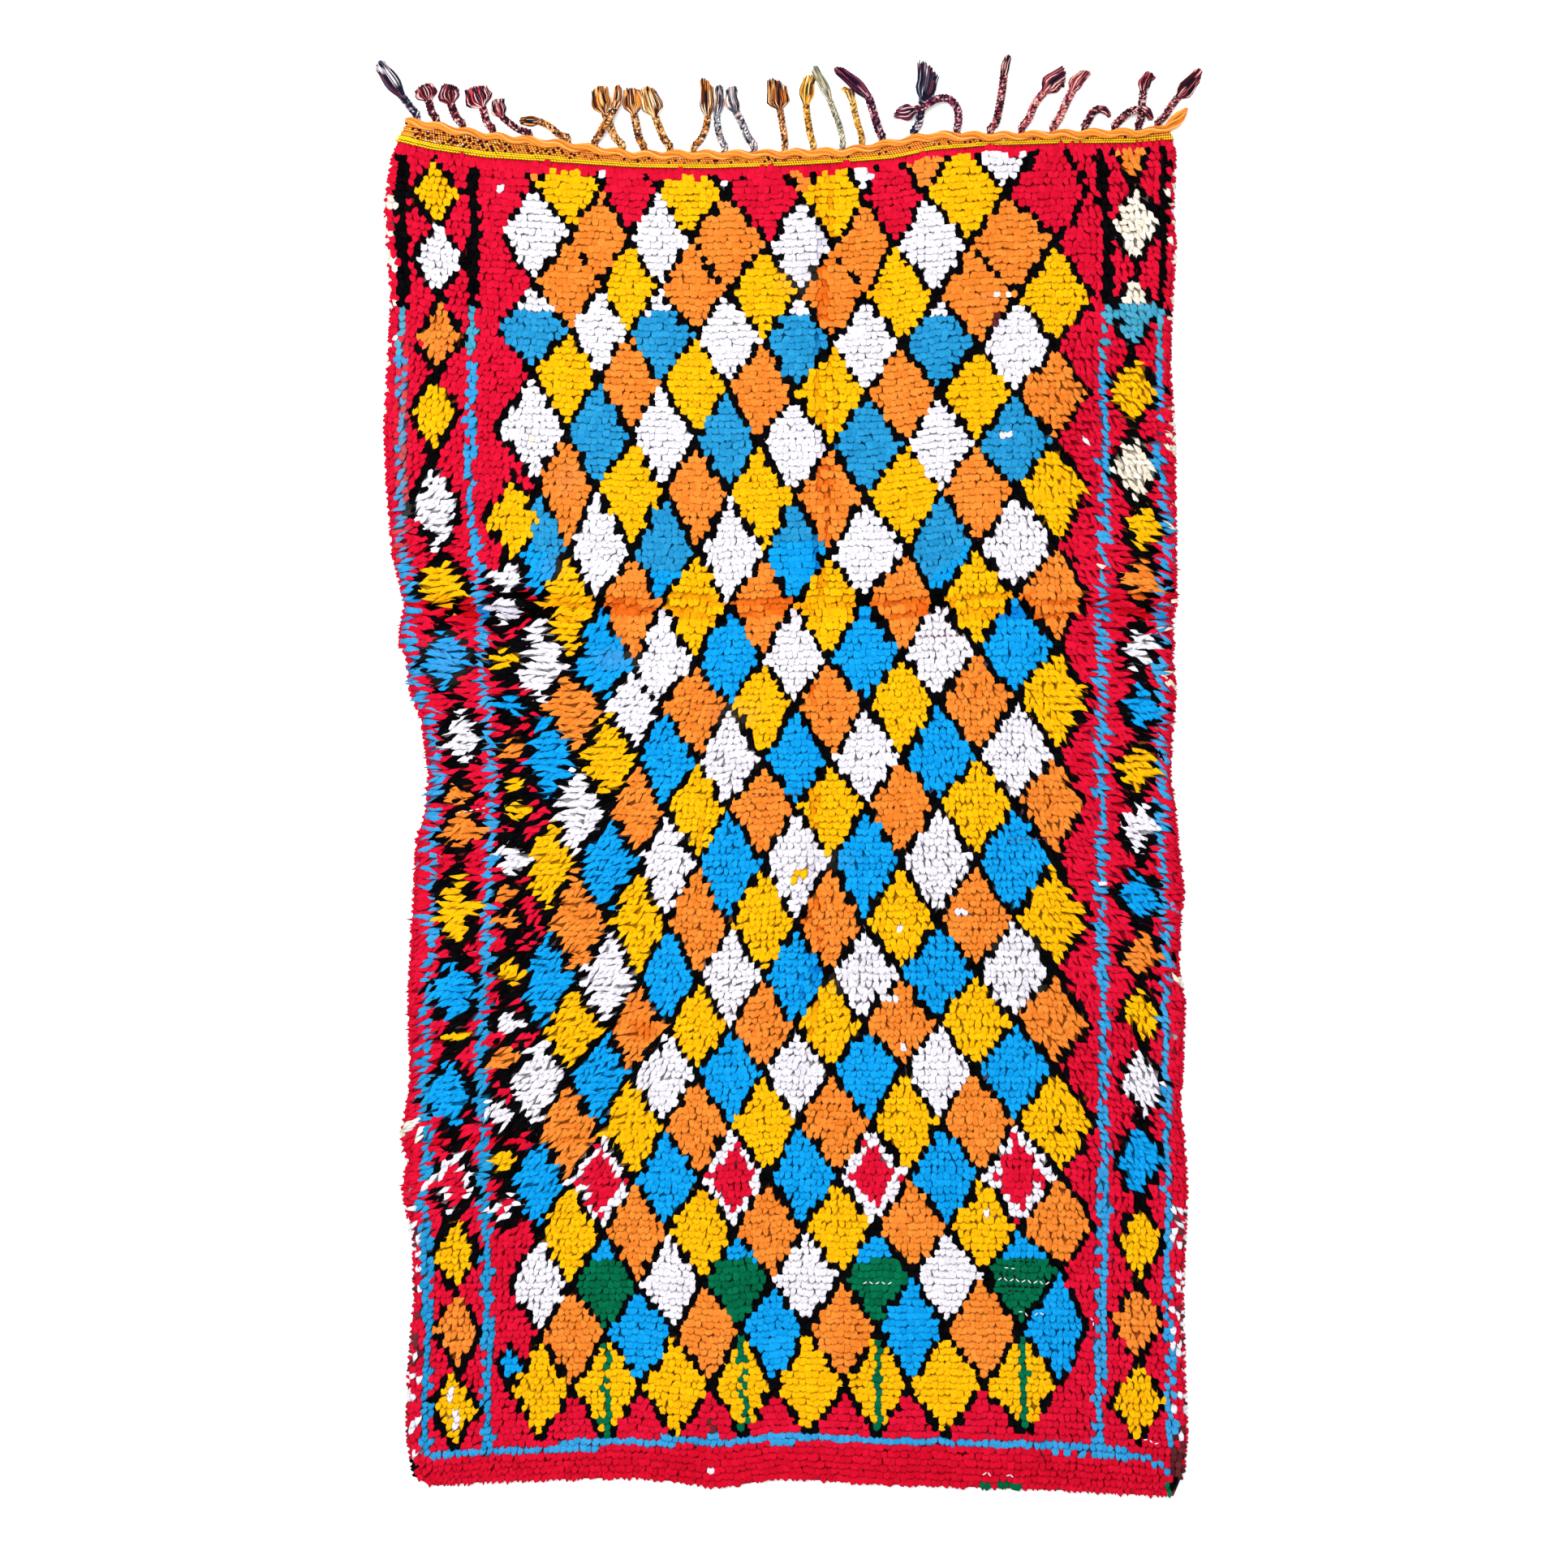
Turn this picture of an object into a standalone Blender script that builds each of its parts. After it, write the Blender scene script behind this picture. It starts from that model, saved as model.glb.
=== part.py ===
# Shaggy knotted rug lying flat, with a flat-woven end, a twined edge cord and a plaited fringe.
# Lengths are metres. The tables are in millimetres from the middle of the rug: x across, y along.

import math
import bpy
import bmesh
from mathutils import Vector

for leftover in list(bpy.data.objects):
    bpy.data.objects.remove(leftover, do_unlink=True)

MM = 0.001
OUTWARD = Vector((0.0, 1.0, 0.0))

# Cloth
PILE_HEIGHT = 14.0 * MM       # floor to the tips of the knots
RIM_HEIGHT = 9.0 * MM         # where the pile rolls over at the rim
BAND_HEIGHT = 4.0 * MM        # flat-woven band at the fringe end
PLAIN_HEIGHT = 3.0 * MM       # plain strip beyond the last knots
RIM_INSET = 14.0 * MM         # from the rim to the full pile height
STEP_RUN = 2.0 * MM           # how far the pile's end wall leans
RIM_SWELL = 0.8 * MM          # the rim between two locks
LUMP = 2.3 * MM               # unevenness of the pile
SWELL_ACROSS = 23.0           # how closely the lumps follow each other, in radians a metre
SWELL_ALONG = 19.0
SWELL_DRIFT = 10.0
SWELL_SHARE = 0.6             # the rest of the unevenness is each point's own
ACROSS = 36                   # cells across the rug
PILE_ROWS = 60                # cells along the pile

# Locks at the two long rims
LOCK_REACH = 9.0 * MM
LOCK_TUCK = 6.0 * MM          # the wall stands this far inside the rug's outline
TUCK_END = 1150 * MM          # no locks beyond this, where the flat band begins
TUCK_RUN = 90 * MM
LOCK_SWEEP = 4.0 * MM         # how far a tip hangs towards the plain end
LOCK_TIP_WIDTH = 7.0 * MM
LOCK_TIP_HEIGHT = 3.5 * MM
LOCK_REACH_SPREAD = 0.35
LOCK_SWEEP_SPREAD = 0.8

# Cord along the flat-woven end
CORD_WIDTH = 14.0 * MM
CORD_HEIGHT = 10.5 * MM
CORD_FLOOR = 4.4 * MM         # just above the band that carries it
CORD_STEP = 13.0 * MM
SCALLOP = 2.0 * MM
SCALLOP_LENGTH = 55.0 * MM
CORD_TWIST_SWELL = 0.07

# Six sides, as shares of the cord's width and height: flat below, round above
CORD_PROFILE = ((-0.32, 0.0), (0.32, 0.0), (0.5, 0.45), (0.26, 1.0), (-0.26, 1.0), (-0.5, 0.45))

# Fringe
PARTING = 0.4 * MM            # between the cloth's edge and the strip
STRIP_WIDTH = 5.4 * MM
STRIP_HEIGHT = 3.4 * MM
ROOT_WIDTH = 19.0 * MM
COLLAR = 1.5 * MM
THROAT = 5.0 * MM             # from the strip to the throat of a root
THROAT_HEIGHT = 3.9 * MM      # the root stays this low until it clears the cord
CLEAR_OF_CORD = 12.0 * MM     # where a braid has its full height
BRAID_HEIGHT = 10.0 * MM
TUFT_HEIGHT = 12.0 * MM
TIP_HEIGHT = 3.5 * MM
BRAID_STEP = 10.0 * MM
STRAND_CROWN = 0.62           # a strand's top, as a share of its width on the floor
PRONG_WIDTH = 0.72            # half way out, as a share of the prong's mouth
PRONG_TIP = 0.3
PLAIT_SWELL = 0.09            # how much each crossing of the plait stands out

# The two long rims, which wander as the cloth was pulled on the loom
RIM_COLUMNS = ("y", "left", "right")
RIMS = (
    (-1336, -676, 712),
    (-1287, -700, 732),
    (-1220, -711, 738),
    (-1114, -710, 734),
    (-964, -698, 730),
    (-860, -699, 734),
    (-762, -720, 738),
    (-710, -710, 735),
    (-664, -722, 732),
    (-604, -711, 724),
    (-552, -704, 729),
    (-417, -708, 734),
    (-364, -706, 723),
    (-274, -702, 724),
    (-214, -698, 732),
    (-117, -693, 720),
    (-64, -676, 716),
    (10, -670, 706),
    (106, -684, 712),
    (160, -706, 717),
    (226, -712, 710),
    (248, -726, 714),
    (288, -722, 708),
    (318, -714, 718),
    (416, -738, 717),
    (536, -748, 716),
    (648, -753, 714),
    (760, -747, 706),
    (873, -740, 710),
    (986, -748, 717),
    (1060, -752, 712),
    (1136, -741, 716),
    (1178, -728, 714),
    (1200, -714, 702),
    (1221, -705, 694),
)

# The two ends: outer edge of the plain strip, first and last knots, outer edge of the band
END_COLUMNS = ("x", "plain_edge", "first_knots", "last_knots", "band_edge")
ENDS = (
    (-724, -1282, -1279, 1176, 1215),
    (-664, -1316, -1313, 1161, 1204),
    (-560, -1308, -1305, 1146, 1185),
    (-410, -1304, -1300, 1136, 1167),
    (-290, -1300, -1297, 1128, 1150),
    (-184, -1311, -1308, 1126, 1150),
    (-140, -1318, -1315, 1126, 1150),
    (-94, -1317, -1311, 1128, 1151),
    (-20, -1306, -1299, 1130, 1152),
    (100, -1312, -1305, 1137, 1155),
    (190, -1318, -1311, 1144, 1172),
    (266, -1320, -1312, 1160, 1185),
    (370, -1324, -1317, 1168, 1184),
    (490, -1328, -1320, 1172, 1188),
    (640, -1338, -1329, 1173, 1191),
    (716, -1341, -1332, 1180, 1198),
)

# Folds that the rug keeps: a trough (negative) or ridge across or along it
FOLD_FADE = 80.0              # millimetres over which a fold dies out at its ends
FOLD_COLUMNS = ("runs", "place", "start", "end", "height", "width")
FOLDS = (
    ("across", 313, -760, 760, -3.0, 15),
    ("across", 350, -760, 760, 1.6, 26),
    ("across", 272, -760, 760, 1.8, 28),
    ("across", -672, -720, -250, -1.8, 16),
    ("along", 46, -560, 1100, -1.6, 14),
    ("along", 86, -300, 1080, 1.2, 18),
)

# The braids from left to right. A point is x, y and how far it is lifted to pass over another.
BRAID_COLUMNS = ("root", "width", "tuft", "bends", "neck", "belly", "tips")
BRAIDS = (
    (-690, 14, 24, ((-702, 1239, 0),), (-716, 1258, 0), (-742, 1296, 0), ((-768, 1317), (-756, 1328))),
    (-654, 14, 22, ((-662, 1228, 0),), (-668, 1250, 0), (-674, 1268, 0), ((-692, 1274), (-669, 1286))),
    (-606, 15, 20, ((-616, 1218, 0),), (-627, 1244, 0), (-632, 1264, 0), ((-639, 1287), (-616, 1276))),
    (-550, 14, 32, ((-560, 1210, 0),), (-568, 1238, 0), (-578, 1258, 0), ((-602, 1276), (-566, 1281))),
    (-482, 12, 22, ((-500, 1197, 0), (-519, 1210, 0)), (-532, 1221, 0), (-540, 1239, 0),
     ((-548, 1254), (-534, 1256))),
    (-411, 12, 15, ((-426, 1188, 0), (-444, 1203, 0)), (-464, 1213, 0), (-482, 1214, 0), ((-500, 1215),)),
    (-360, 14, 14, ((-352, 1186, 8), (-343, 1202, 12.5), (-333, 1218, 13)), (-323, 1236, 11), (-318, 1256, 3),
     ((-322, 1280), (-312, 1280))),
    (-310, 14, 28, ((-324, 1184, 0), (-333, 1206, 0)), (-342, 1227, 0), (-350, 1252, 0),
     ((-363, 1275), (-344, 1281))),
    (-270, 14, 22, ((-278, 1180, 0), (-284, 1206, 0)), (-288, 1226, 0), (-291, 1250, 0),
     ((-303, 1276), (-284, 1275))),
    (-222, 14, 26, ((-232, 1180, 0), (-242, 1203, 0)), (-249, 1221, 0), (-256, 1246, 0),
     ((-272, 1280), (-260, 1275))),
    (-177, 12, 20, ((-166, 1178, 0), (-156, 1198, 0)), (-152, 1221, 0), (-153, 1250, 0),
     ((-164, 1300), (-146, 1281))),
    (-120, 12, 14, ((-128, 1180, 0), (-134, 1206, 0)), (-135, 1224, 0), (-130, 1250, 0), ((-129, 1280),)),
    (-66, 14, 18, ((-78, 1184, 0), (-88, 1208, 0)), (-99, 1230, 0), (-108, 1252, 0),
     ((-117, 1274), (-102, 1281))),
    (-9, 12, 21, ((-10, 1184, 0), (-14, 1210, 0)), (-18, 1234, 0), (-22, 1256, 0),
     ((-39, 1300), (-8, 1280))),
    (44, 12, 26, ((39, 1184, 0), (34, 1210, 0)), (30, 1244, 0), (32, 1274, 0), ((38, 1299),)),
    (98, 10, 16, ((96, 1188, 0), (90, 1210, 0)), (74, 1252, 0), (62, 1281, 0), ((40, 1312), (50, 1317))),
    (134, 11, 14, ((132, 1188, 0), (124, 1214, 0)), (116, 1250, 0), (110, 1268, 0), ((99, 1276),)),
    (171, 15, 20, ((165, 1196, 0), (156, 1226, 0)), (146, 1258, 0), (118, 1286, 0),
     ((80, 1310), (92, 1316))),
    (230, 14, 27, ((238, 1207, 0), (241, 1222, 0)), (246, 1250, 0), (254, 1282, 0),
     ((243, 1334), (274, 1300))),
    (310, 14, 21, ((312, 1214, 0), (310, 1236, 0), (294, 1254, 3), (270, 1251, 12), (250, 1239, 13)),
     (232, 1232, 10), (213, 1228, 3), ((189, 1221), (200, 1236))),
    (372, 14, 14, ((381, 1210, 0), (388, 1240, 0), (393, 1270, 0)), (396, 1298, 0), (399, 1317, 0),
     ((405, 1336),)),
    (430, 14, 27, ((442, 1218, 0), (453, 1244, 0)), (470, 1266, 0), (488, 1287, 0),
     ((514, 1320), (508, 1282))),
    (488, 15, 18, ((498, 1218, 0), (510, 1244, 0)), (522, 1268, 0), (532, 1288, 0),
     ((540, 1308), (558, 1306))),
    (546, 14, 14, ((552, 1214, 0), (561, 1230, 0)), (573, 1236, 0), (584, 1233, 0), ((594, 1224),)),
    (602, 14, 14, ((610, 1214, 0), (627, 1228, 7)), (650, 1234, 13), (663, 1227, 10), ((672, 1218),)),
    (646, 14, 18, ((650, 1218, 0), (651, 1240, 0)), (654, 1268, 0), (657, 1287, 0),
     ((662, 1308), (675, 1299))),
    (682, 13, 20, ((693, 1222, 0), (705, 1240, 0)), (718, 1257, 0), (735, 1274, 0),
     ((764, 1317), (760, 1292))),
)

# Where the cord leaves the cloth: x, y, height above the floor, width
TAIL_COLUMNS = ("x", "y", "floor", "width")
TAIL = (
    (697, 1199, 4.4, 14),
    (711, 1210, 4.4, 20),
    (723, 1223, 3.0, 16),
    (736, 1238, 0.0, 4),
)


def named(columns, row):
    return dict(zip(columns, row))


def along(columns, table, at, column):
    # Reads a column of a table at a place between its rows, as one smooth line
    places = [row[0] for row in table]
    heights = [row[columns.index(column)] for row in table]
    at = min(max(at / MM, places[0]), places[-1])
    k = max(i for i in range(len(places) - 1) if places[i] <= at)
    before, after = max(k - 1, 0), min(k + 2, len(places) - 1)
    span = places[k + 1] - places[k]
    t = (at - places[k]) / span
    slope_a = (heights[k + 1] - heights[before]) / (places[k + 1] - places[before]) * span
    slope_b = (heights[after] - heights[k]) / (places[after] - places[k]) * span
    value = ((2 * t ** 3 - 3 * t ** 2 + 1) * heights[k] + (t ** 3 - 2 * t ** 2 + t) * slope_a
             + (3 * t ** 2 - 2 * t ** 3) * heights[k + 1] + (t ** 3 - t ** 2) * slope_b)
    return value * MM


def blend(a, b, share):
    return a + (b - a) * share


def unevenness(i, j):
    # A steady value between -1 and 1 for each pair of whole numbers
    value = math.sin(i * 12.9898 + j * 78.233) * 43758.5453
    return 2.0 * (value - math.floor(value)) - 1.0


def fold_height(x, y):
    height = 0.0
    for row in FOLDS:
        fold = named(FOLD_COLUMNS, row)
        away, run = (y, x) if fold["runs"] == "across" else (x, y)
        inside = min(run / MM - fold["start"], fold["end"] - run / MM)
        fade = min(max(inside / FOLD_FADE, 0.0), 1.0)
        distance = (away / MM - fold["place"]) / fold["width"]
        height += fold["height"] * MM * fade * math.exp(-distance * distance)
    return height


def pile_surface(x, y, i, j):
    swell = math.sin(x * SWELL_ACROSS + math.sin(y * SWELL_DRIFT))
    swell *= math.sin(y * SWELL_ALONG + math.sin(x * SWELL_DRIFT))
    return PILE_HEIGHT + LUMP * blend(unevenness(i, j), swell, SWELL_SHARE) + fold_height(x, y)


def place(share, line):
    # The point on a line across the rug, at a share of the way from the left rim to the right
    x = 0.0
    for _ in range(4):
        y = line(x)
        tuck = LOCK_TUCK * min(max((TUCK_END - y) / TUCK_RUN, 0.0), 1.0)
        left = along(RIM_COLUMNS, RIMS, y, "left") + tuck
        right = along(RIM_COLUMNS, RIMS, y, "right") - tuck
        x = blend(left, right, share)
    return x, line(x), right - left


def end_line(column, shift=0.0):
    return lambda x: along(END_COLUMNS, ENDS, x, column) + shift


def pile_line(share):
    start = end_line("first_knots", STEP_RUN)
    end = end_line("last_knots", -STEP_RUN)
    return lambda x: blend(start(x), end(x), share)


def cloth_rows():
    # Each row across the cloth: its line, its kind, and whether it stands on the row before
    rows = [
        (end_line("plain_edge"), "plain", False),
        (end_line("first_knots"), "plain", False),
        (pile_line(0.0), "pile end", True),
    ]
    rows += [(pile_line(k / PILE_ROWS), "pile", False) for k in range(1, PILE_ROWS)]
    rows += [
        (pile_line(1.0), "pile end", False),
        (end_line("last_knots"), "band", True),
        (lambda x: blend(end_line("last_knots")(x), end_line("band_edge")(x), 0.5), "band", False),
        (end_line("band_edge"), "band", False),
    ]
    return rows


def add_lock(mesh, root, reach, sweep):
    # A blunt lock of pile that grows from one face of the rim's wall: low pair, then high pair
    middle = sum((v.co for v in root), Vector()) / 4
    side = root[1].co - root[0].co
    side.z = 0.0
    side.normalize()
    out = Vector((side.y, -side.x, 0.0))
    if out.x * middle.x < 0.0:
        out = -out
    centre = middle + out * reach + Vector((0.0, -sweep, 0.0))
    half = side * (LOCK_TIP_WIDTH / 2)
    tip = [
        mesh.verts.new((*(centre - half).xy, 0.0)),
        mesh.verts.new((*(centre + half).xy, 0.0)),
        mesh.verts.new((*(centre + half * 0.8).xy, LOCK_TIP_HEIGHT)),
        mesh.verts.new((*(centre - half * 0.8).xy, LOCK_TIP_HEIGHT)),
    ]
    for k in range(4):
        mesh.faces.new((root[k], root[(k + 1) % 4], tip[(k + 1) % 4], tip[k]))
    mesh.faces.new(tip)


def finish(name, mesh, colour, roughness):
    bmesh.ops.recalc_face_normals(mesh, faces=mesh.faces)
    data = bpy.data.meshes.new(name)
    mesh.to_mesh(data)
    mesh.free()
    material = bpy.data.materials.new(name + "_yarn")
    material.use_nodes = True
    shader = material.node_tree.nodes["Principled BSDF"]
    shader.inputs["Base Color"].default_value = (*colour, 1.0)
    shader.inputs["Roughness"].default_value = roughness
    shader.inputs["Metallic"].default_value = 0.0
    data.materials.append(material)
    made = bpy.data.objects.new(name, data)
    bpy.context.scene.collection.objects.link(made)
    return made


def make_cloth():
    mesh = bmesh.new()
    top, foot, kinds = [], [], []
    for j, (line, kind, shares_foot) in enumerate(cloth_rows()):
        row = []
        for i in range(ACROSS + 1):
            share = i / ACROSS
            x, y, width = place(share, line)
            if i in (1, ACROSS - 1):
                inset = RIM_INSET / width
                x, y, width = place(inset if i == 1 else 1.0 - inset, line)
            if kind == "plain":
                z = PLAIN_HEIGHT
            elif kind == "band":
                z = BAND_HEIGHT
            elif i in (0, ACROSS) or kind == "pile end":
                z = RIM_HEIGHT + 0.3 * LUMP * unevenness(i, j)
            else:
                z = pile_surface(x, y, i, j)
            row.append(mesh.verts.new((x, y, z)))
        top.append(row)
        kinds.append(kind)
        if shares_foot:
            foot.append(foot[-1])
        else:
            foot.append((mesh.verts.new((*row[0].co.xy, 0.0)), mesh.verts.new((*row[-1].co.xy, 0.0))))

    outline = {0: [], -1: []}
    for j in range(len(top) - 1):
        low, high = top[j], top[j + 1]
        for i in range(1, ACROSS - 1):
            mesh.faces.new((low[i], low[i + 1], high[i + 1], high[i]))
        for side, rim, inner in ((0, 0, 1), (-1, ACROSS, ACROSS - 1)):
            wall = [foot[j][side], foot[j + 1][side], high[rim], low[rim]]
            outline[side].append(foot[j][side])
            if wall[0] == wall[1]:
                mesh.faces.new(wall[1:])
                mesh.faces.new((low[rim], low[inner], high[inner], high[rim]))
            elif "pile" in (kinds[j], kinds[j + 1]):
                # Two locks to a cell: the rim gets a point half way
                swell = Vector((-RIM_SWELL if rim == 0 else RIM_SWELL, 0.0, 0.0))
                mid_foot = mesh.verts.new((wall[0].co + wall[1].co) / 2 + swell)
                mid_rim = mesh.verts.new((low[rim].co + high[rim].co) / 2 + swell)
                outline[side].append(mid_foot)
                mesh.faces.new((low[rim], low[inner], mid_rim))
                mesh.faces.new((mid_rim, low[inner], high[inner]))
                mesh.faces.new((mid_rim, high[inner], high[rim]))
                for half, root in enumerate(((wall[0], mid_foot, mid_rim, wall[3]),
                                             (mid_foot, wall[1], wall[2], mid_rim))):
                    reach = LOCK_REACH * (1.0 + LOCK_REACH_SPREAD * unevenness(2 * j + half, rim))
                    sweep = LOCK_SWEEP * (1.0 + LOCK_SWEEP_SPREAD * unevenness(rim, 2 * j + half))
                    add_lock(mesh, root, reach, sweep)
            else:
                mesh.faces.new(wall)
                mesh.faces.new((low[rim], low[inner], high[inner], high[rim]))

    # The two end walls, and the flat underside
    ends = []
    for row, corners in ((top[0], foot[0]), (top[-1], foot[-1])):
        bottom = [corners[0]]
        bottom += [mesh.verts.new((*v.co.xy, 0.0)) for v in row[1:-1]]
        bottom.append(corners[1])
        for i in range(ACROSS):
            mesh.faces.new((bottom[i], bottom[i + 1], row[i + 1], row[i]))
        ends.append(bottom)
    rims = []
    for side in (0, -1):
        unique = []
        for vert in outline[side]:
            if not unique or vert != unique[-1]:
                unique.append(vert)
        rims.append([v for v in unique if v not in (foot[0][side], foot[-1][side])])
    underside = mesh.faces.new(ends[0] + rims[1] + ends[1][::-1] + rims[0][::-1])
    underside.normal_update()
    bmesh.ops.triangulate(mesh, faces=[underside], ngon_method="BEAUTY")
    band_edge = [v.co.copy() for v in top[-1]]
    return finish("rug_cloth", mesh, (0.75, 0.01, 0.03), 0.9), band_edge


def edge_y(band_edge, x):
    # The cloth's own outer edge at the fringe end, point by point
    for a, b in zip(band_edge, band_edge[1:]):
        if a.x <= x <= b.x:
            return blend(a.y, b.y, (x - a.x) / (b.x - a.x))
    return band_edge[0].y if x < band_edge[0].x else band_edge[-1].y


def smooth_path(points):
    # A fine line through the points, with no corners
    path = []
    for k in range(len(points) - 1):
        a, b = points[max(k - 1, 0)], points[k]
        c, d = points[k + 1], points[min(k + 2, len(points) - 1)]
        for step in range(12):
            t = step / 12
            path.append(0.5 * (2 * b + (c - a) * t + (2 * a - 5 * b + 4 * c - d) * t ** 2
                               + (3 * b - a - 3 * c + d) * t ** 3))
    path.append(points[-1])
    return path


def walk(path, stops):
    # Point and heading at given lengths along a path
    found, run, k = [], 0.0, 0
    for stop in stops:
        while k < len(path) - 2 and run + (path[k + 1] - path[k]).length < stop:
            run += (path[k + 1] - path[k]).length
            k += 1
        step = path[k + 1] - path[k]
        share = min(max((stop - run) / step.length, 0.0), 1.0)
        heading = path[min(k + 2, len(path) - 1)] - path[max(k - 1, 0)]
        found.append((path[k] + step * share, Vector((heading.x, heading.y, 0.0)).normalized()))
    return found


def ring(mesh, centre, heading, width, height, top_share=STRAND_CROWN):
    # Four points across a strand: low left, low right, high right, high left
    left = Vector((-heading.y, heading.x, 0.0)) * (width / 2)
    up = Vector((0.0, 0.0, height))
    return [mesh.verts.new(p) for p in (centre + left, centre - left,
                                        centre - left * top_share + up, centre + left * top_share + up)]


def bridge(mesh, a, b):
    for k in range(4):
        mesh.faces.new((a[k], a[(k + 1) % 4], b[(k + 1) % 4], b[k]))


def add_braid(mesh, root, start, row):
    lifted = [Vector((x, y, lift)) * MM for x, y, lift in (*row["bends"], row["neck"])]
    path = smooth_path([start, start + Vector((0.0, CLEAR_OF_CORD, 0.0)), *lifted])
    length = sum((b - a).length for a, b in zip(path, path[1:]))
    width = row["width"] * MM
    count = max(int((length - CLEAR_OF_CORD) / BRAID_STEP), 1)
    stops = [THROAT] + [blend(CLEAR_OF_CORD, length, k / count) for k in range(count + 1)]
    last = root
    for k, (centre, heading) in enumerate(walk(path, stops)):
        centre.z = max(centre.z, 0.0)
        if k == 0:
            now = ring(mesh, centre, OUTWARD, ROOT_WIDTH * 0.85, THROAT_HEIGHT, 0.8)
        else:
            swell = 1.0 + PLAIT_SWELL * (-1) ** k
            heading = OUTWARD if k == 1 else heading
            now = ring(mesh, centre, heading, width * swell, BRAID_HEIGHT)
        bridge(mesh, last, now)
        last = now

    # The unplaited end swells into a tuft
    tuft = row["tuft"] * MM
    neck, belly = lifted[-1], Vector(row["belly"]) * MM
    heading = (belly - neck).normalized()
    heading.z = 0.0
    swelling = ring(mesh, blend(neck, belly, 0.55), heading, blend(width, tuft, 0.7), TUFT_HEIGHT * 0.95)
    bridge(mesh, last, swelling)
    up = Vector((0.0, 0.0, TUFT_HEIGHT))
    widest = ring(mesh, belly, heading, tuft, TUFT_HEIGHT)
    tips = [Vector((x, y, belly.z / MM * 0.3)) * MM for x, y in row["tips"]]
    if len(tips) == 1:
        bridge(mesh, swelling, widest)
        mouths = [widest]
    else:
        # Two prongs part at the middle of the widest ring
        low_mid, high_mid = mesh.verts.new(belly), mesh.verts.new(belly + up)
        a, b = swelling, widest
        mesh.faces.new((a[0], a[1], b[1], low_mid, b[0]))
        mesh.faces.new((a[1], a[2], b[2], b[1]))
        mesh.faces.new((a[2], a[3], b[3], high_mid, b[2]))
        mesh.faces.new((a[3], a[0], b[0], b[3]))
        mouths = [[b[0], low_mid, high_mid, b[3]], [low_mid, b[1], b[2], high_mid]]
    share = 1.0 / len(tips)
    for mouth, tip in zip(mouths, tips):
        middle = sum((v.co for v in mouth), Vector()) / 4
        middle.z = belly.z
        aim = (tip - middle).normalized()
        aim.z = 0.0
        fraying = ring(mesh, blend(middle, tip, 0.5), aim, tuft * share * PRONG_WIDTH, TUFT_HEIGHT * 0.75)
        end = ring(mesh, tip, aim, tuft * share * PRONG_TIP + 1.0 * MM, TIP_HEIGHT)
        bridge(mesh, mouth, fraying)
        bridge(mesh, fraying, end)
        mesh.faces.new(end)


def make_fringe(band_edge):
    mesh = bmesh.new()
    rows = [named(BRAID_COLUMNS, row) for row in BRAIDS]
    roots = [(row["root"] * MM - ROOT_WIDTH / 2, row["root"] * MM + ROOT_WIDTH / 2) for row in rows]
    first, last = roots[0][0] - 3 * MM, roots[-1][1] + 3 * MM
    stations = {first, last}
    stations.update(x for pair in roots for x in pair)
    stations.update(v.x for v in band_edge if first < v.x < last)
    stations = sorted(stations)
    strip = []
    for x in stations:
        inner = edge_y(band_edge, x) + PARTING
        outer = inner + STRIP_WIDTH
        strip.append([mesh.verts.new(p) for p in ((x, inner, 0.0), (x, outer, 0.0),
                                                  (x, outer, STRIP_HEIGHT), (x, inner, STRIP_HEIGHT))])
    held = [[k for k, x in enumerate(stations) if left <= x <= right] for left, right in roots]
    taken = {k for inside in held for k in inside[:-1]}
    for k in range(len(stations) - 1):
        a, b = strip[k], strip[k + 1]
        mesh.faces.new((a[0], b[0], b[1], a[1]))
        mesh.faces.new((a[2], b[2], b[3], a[3]))
        mesh.faces.new((a[3], b[3], b[0], a[0]))
        if k not in taken:
            mesh.faces.new((a[1], b[1], b[2], a[2]))
    mesh.faces.new(strip[0])
    mesh.faces.new(strip[-1])

    for row, inside in zip(rows, held):
        a, b = strip[inside[0]], strip[inside[-1]]
        start = (a[1].co + b[1].co) / 2
        between = [strip[k] for k in inside[1:-1]]
        if between:
            # A station inside the root: close it down to the four corners with a short collar
            collar = [mesh.verts.new(v.co + OUTWARD * COLLAR) for v in (a[1], b[1], b[2], a[2])]
            mesh.faces.new([a[1], *[s[1] for s in between], b[1], collar[1], collar[0]])
            mesh.faces.new([b[2], *[s[2] for s in between[::-1]], a[2], collar[3], collar[2]])
            mesh.faces.new((b[1], b[2], collar[2], collar[1]))
            mesh.faces.new((a[2], a[1], collar[0], collar[3]))
            root = collar
        else:
            root = [a[1], b[1], b[2], a[2]]
        add_braid(mesh, root, start, row)
    return finish("braid_fringe", mesh, (0.16, 0.03, 0.06), 0.9)


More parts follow.
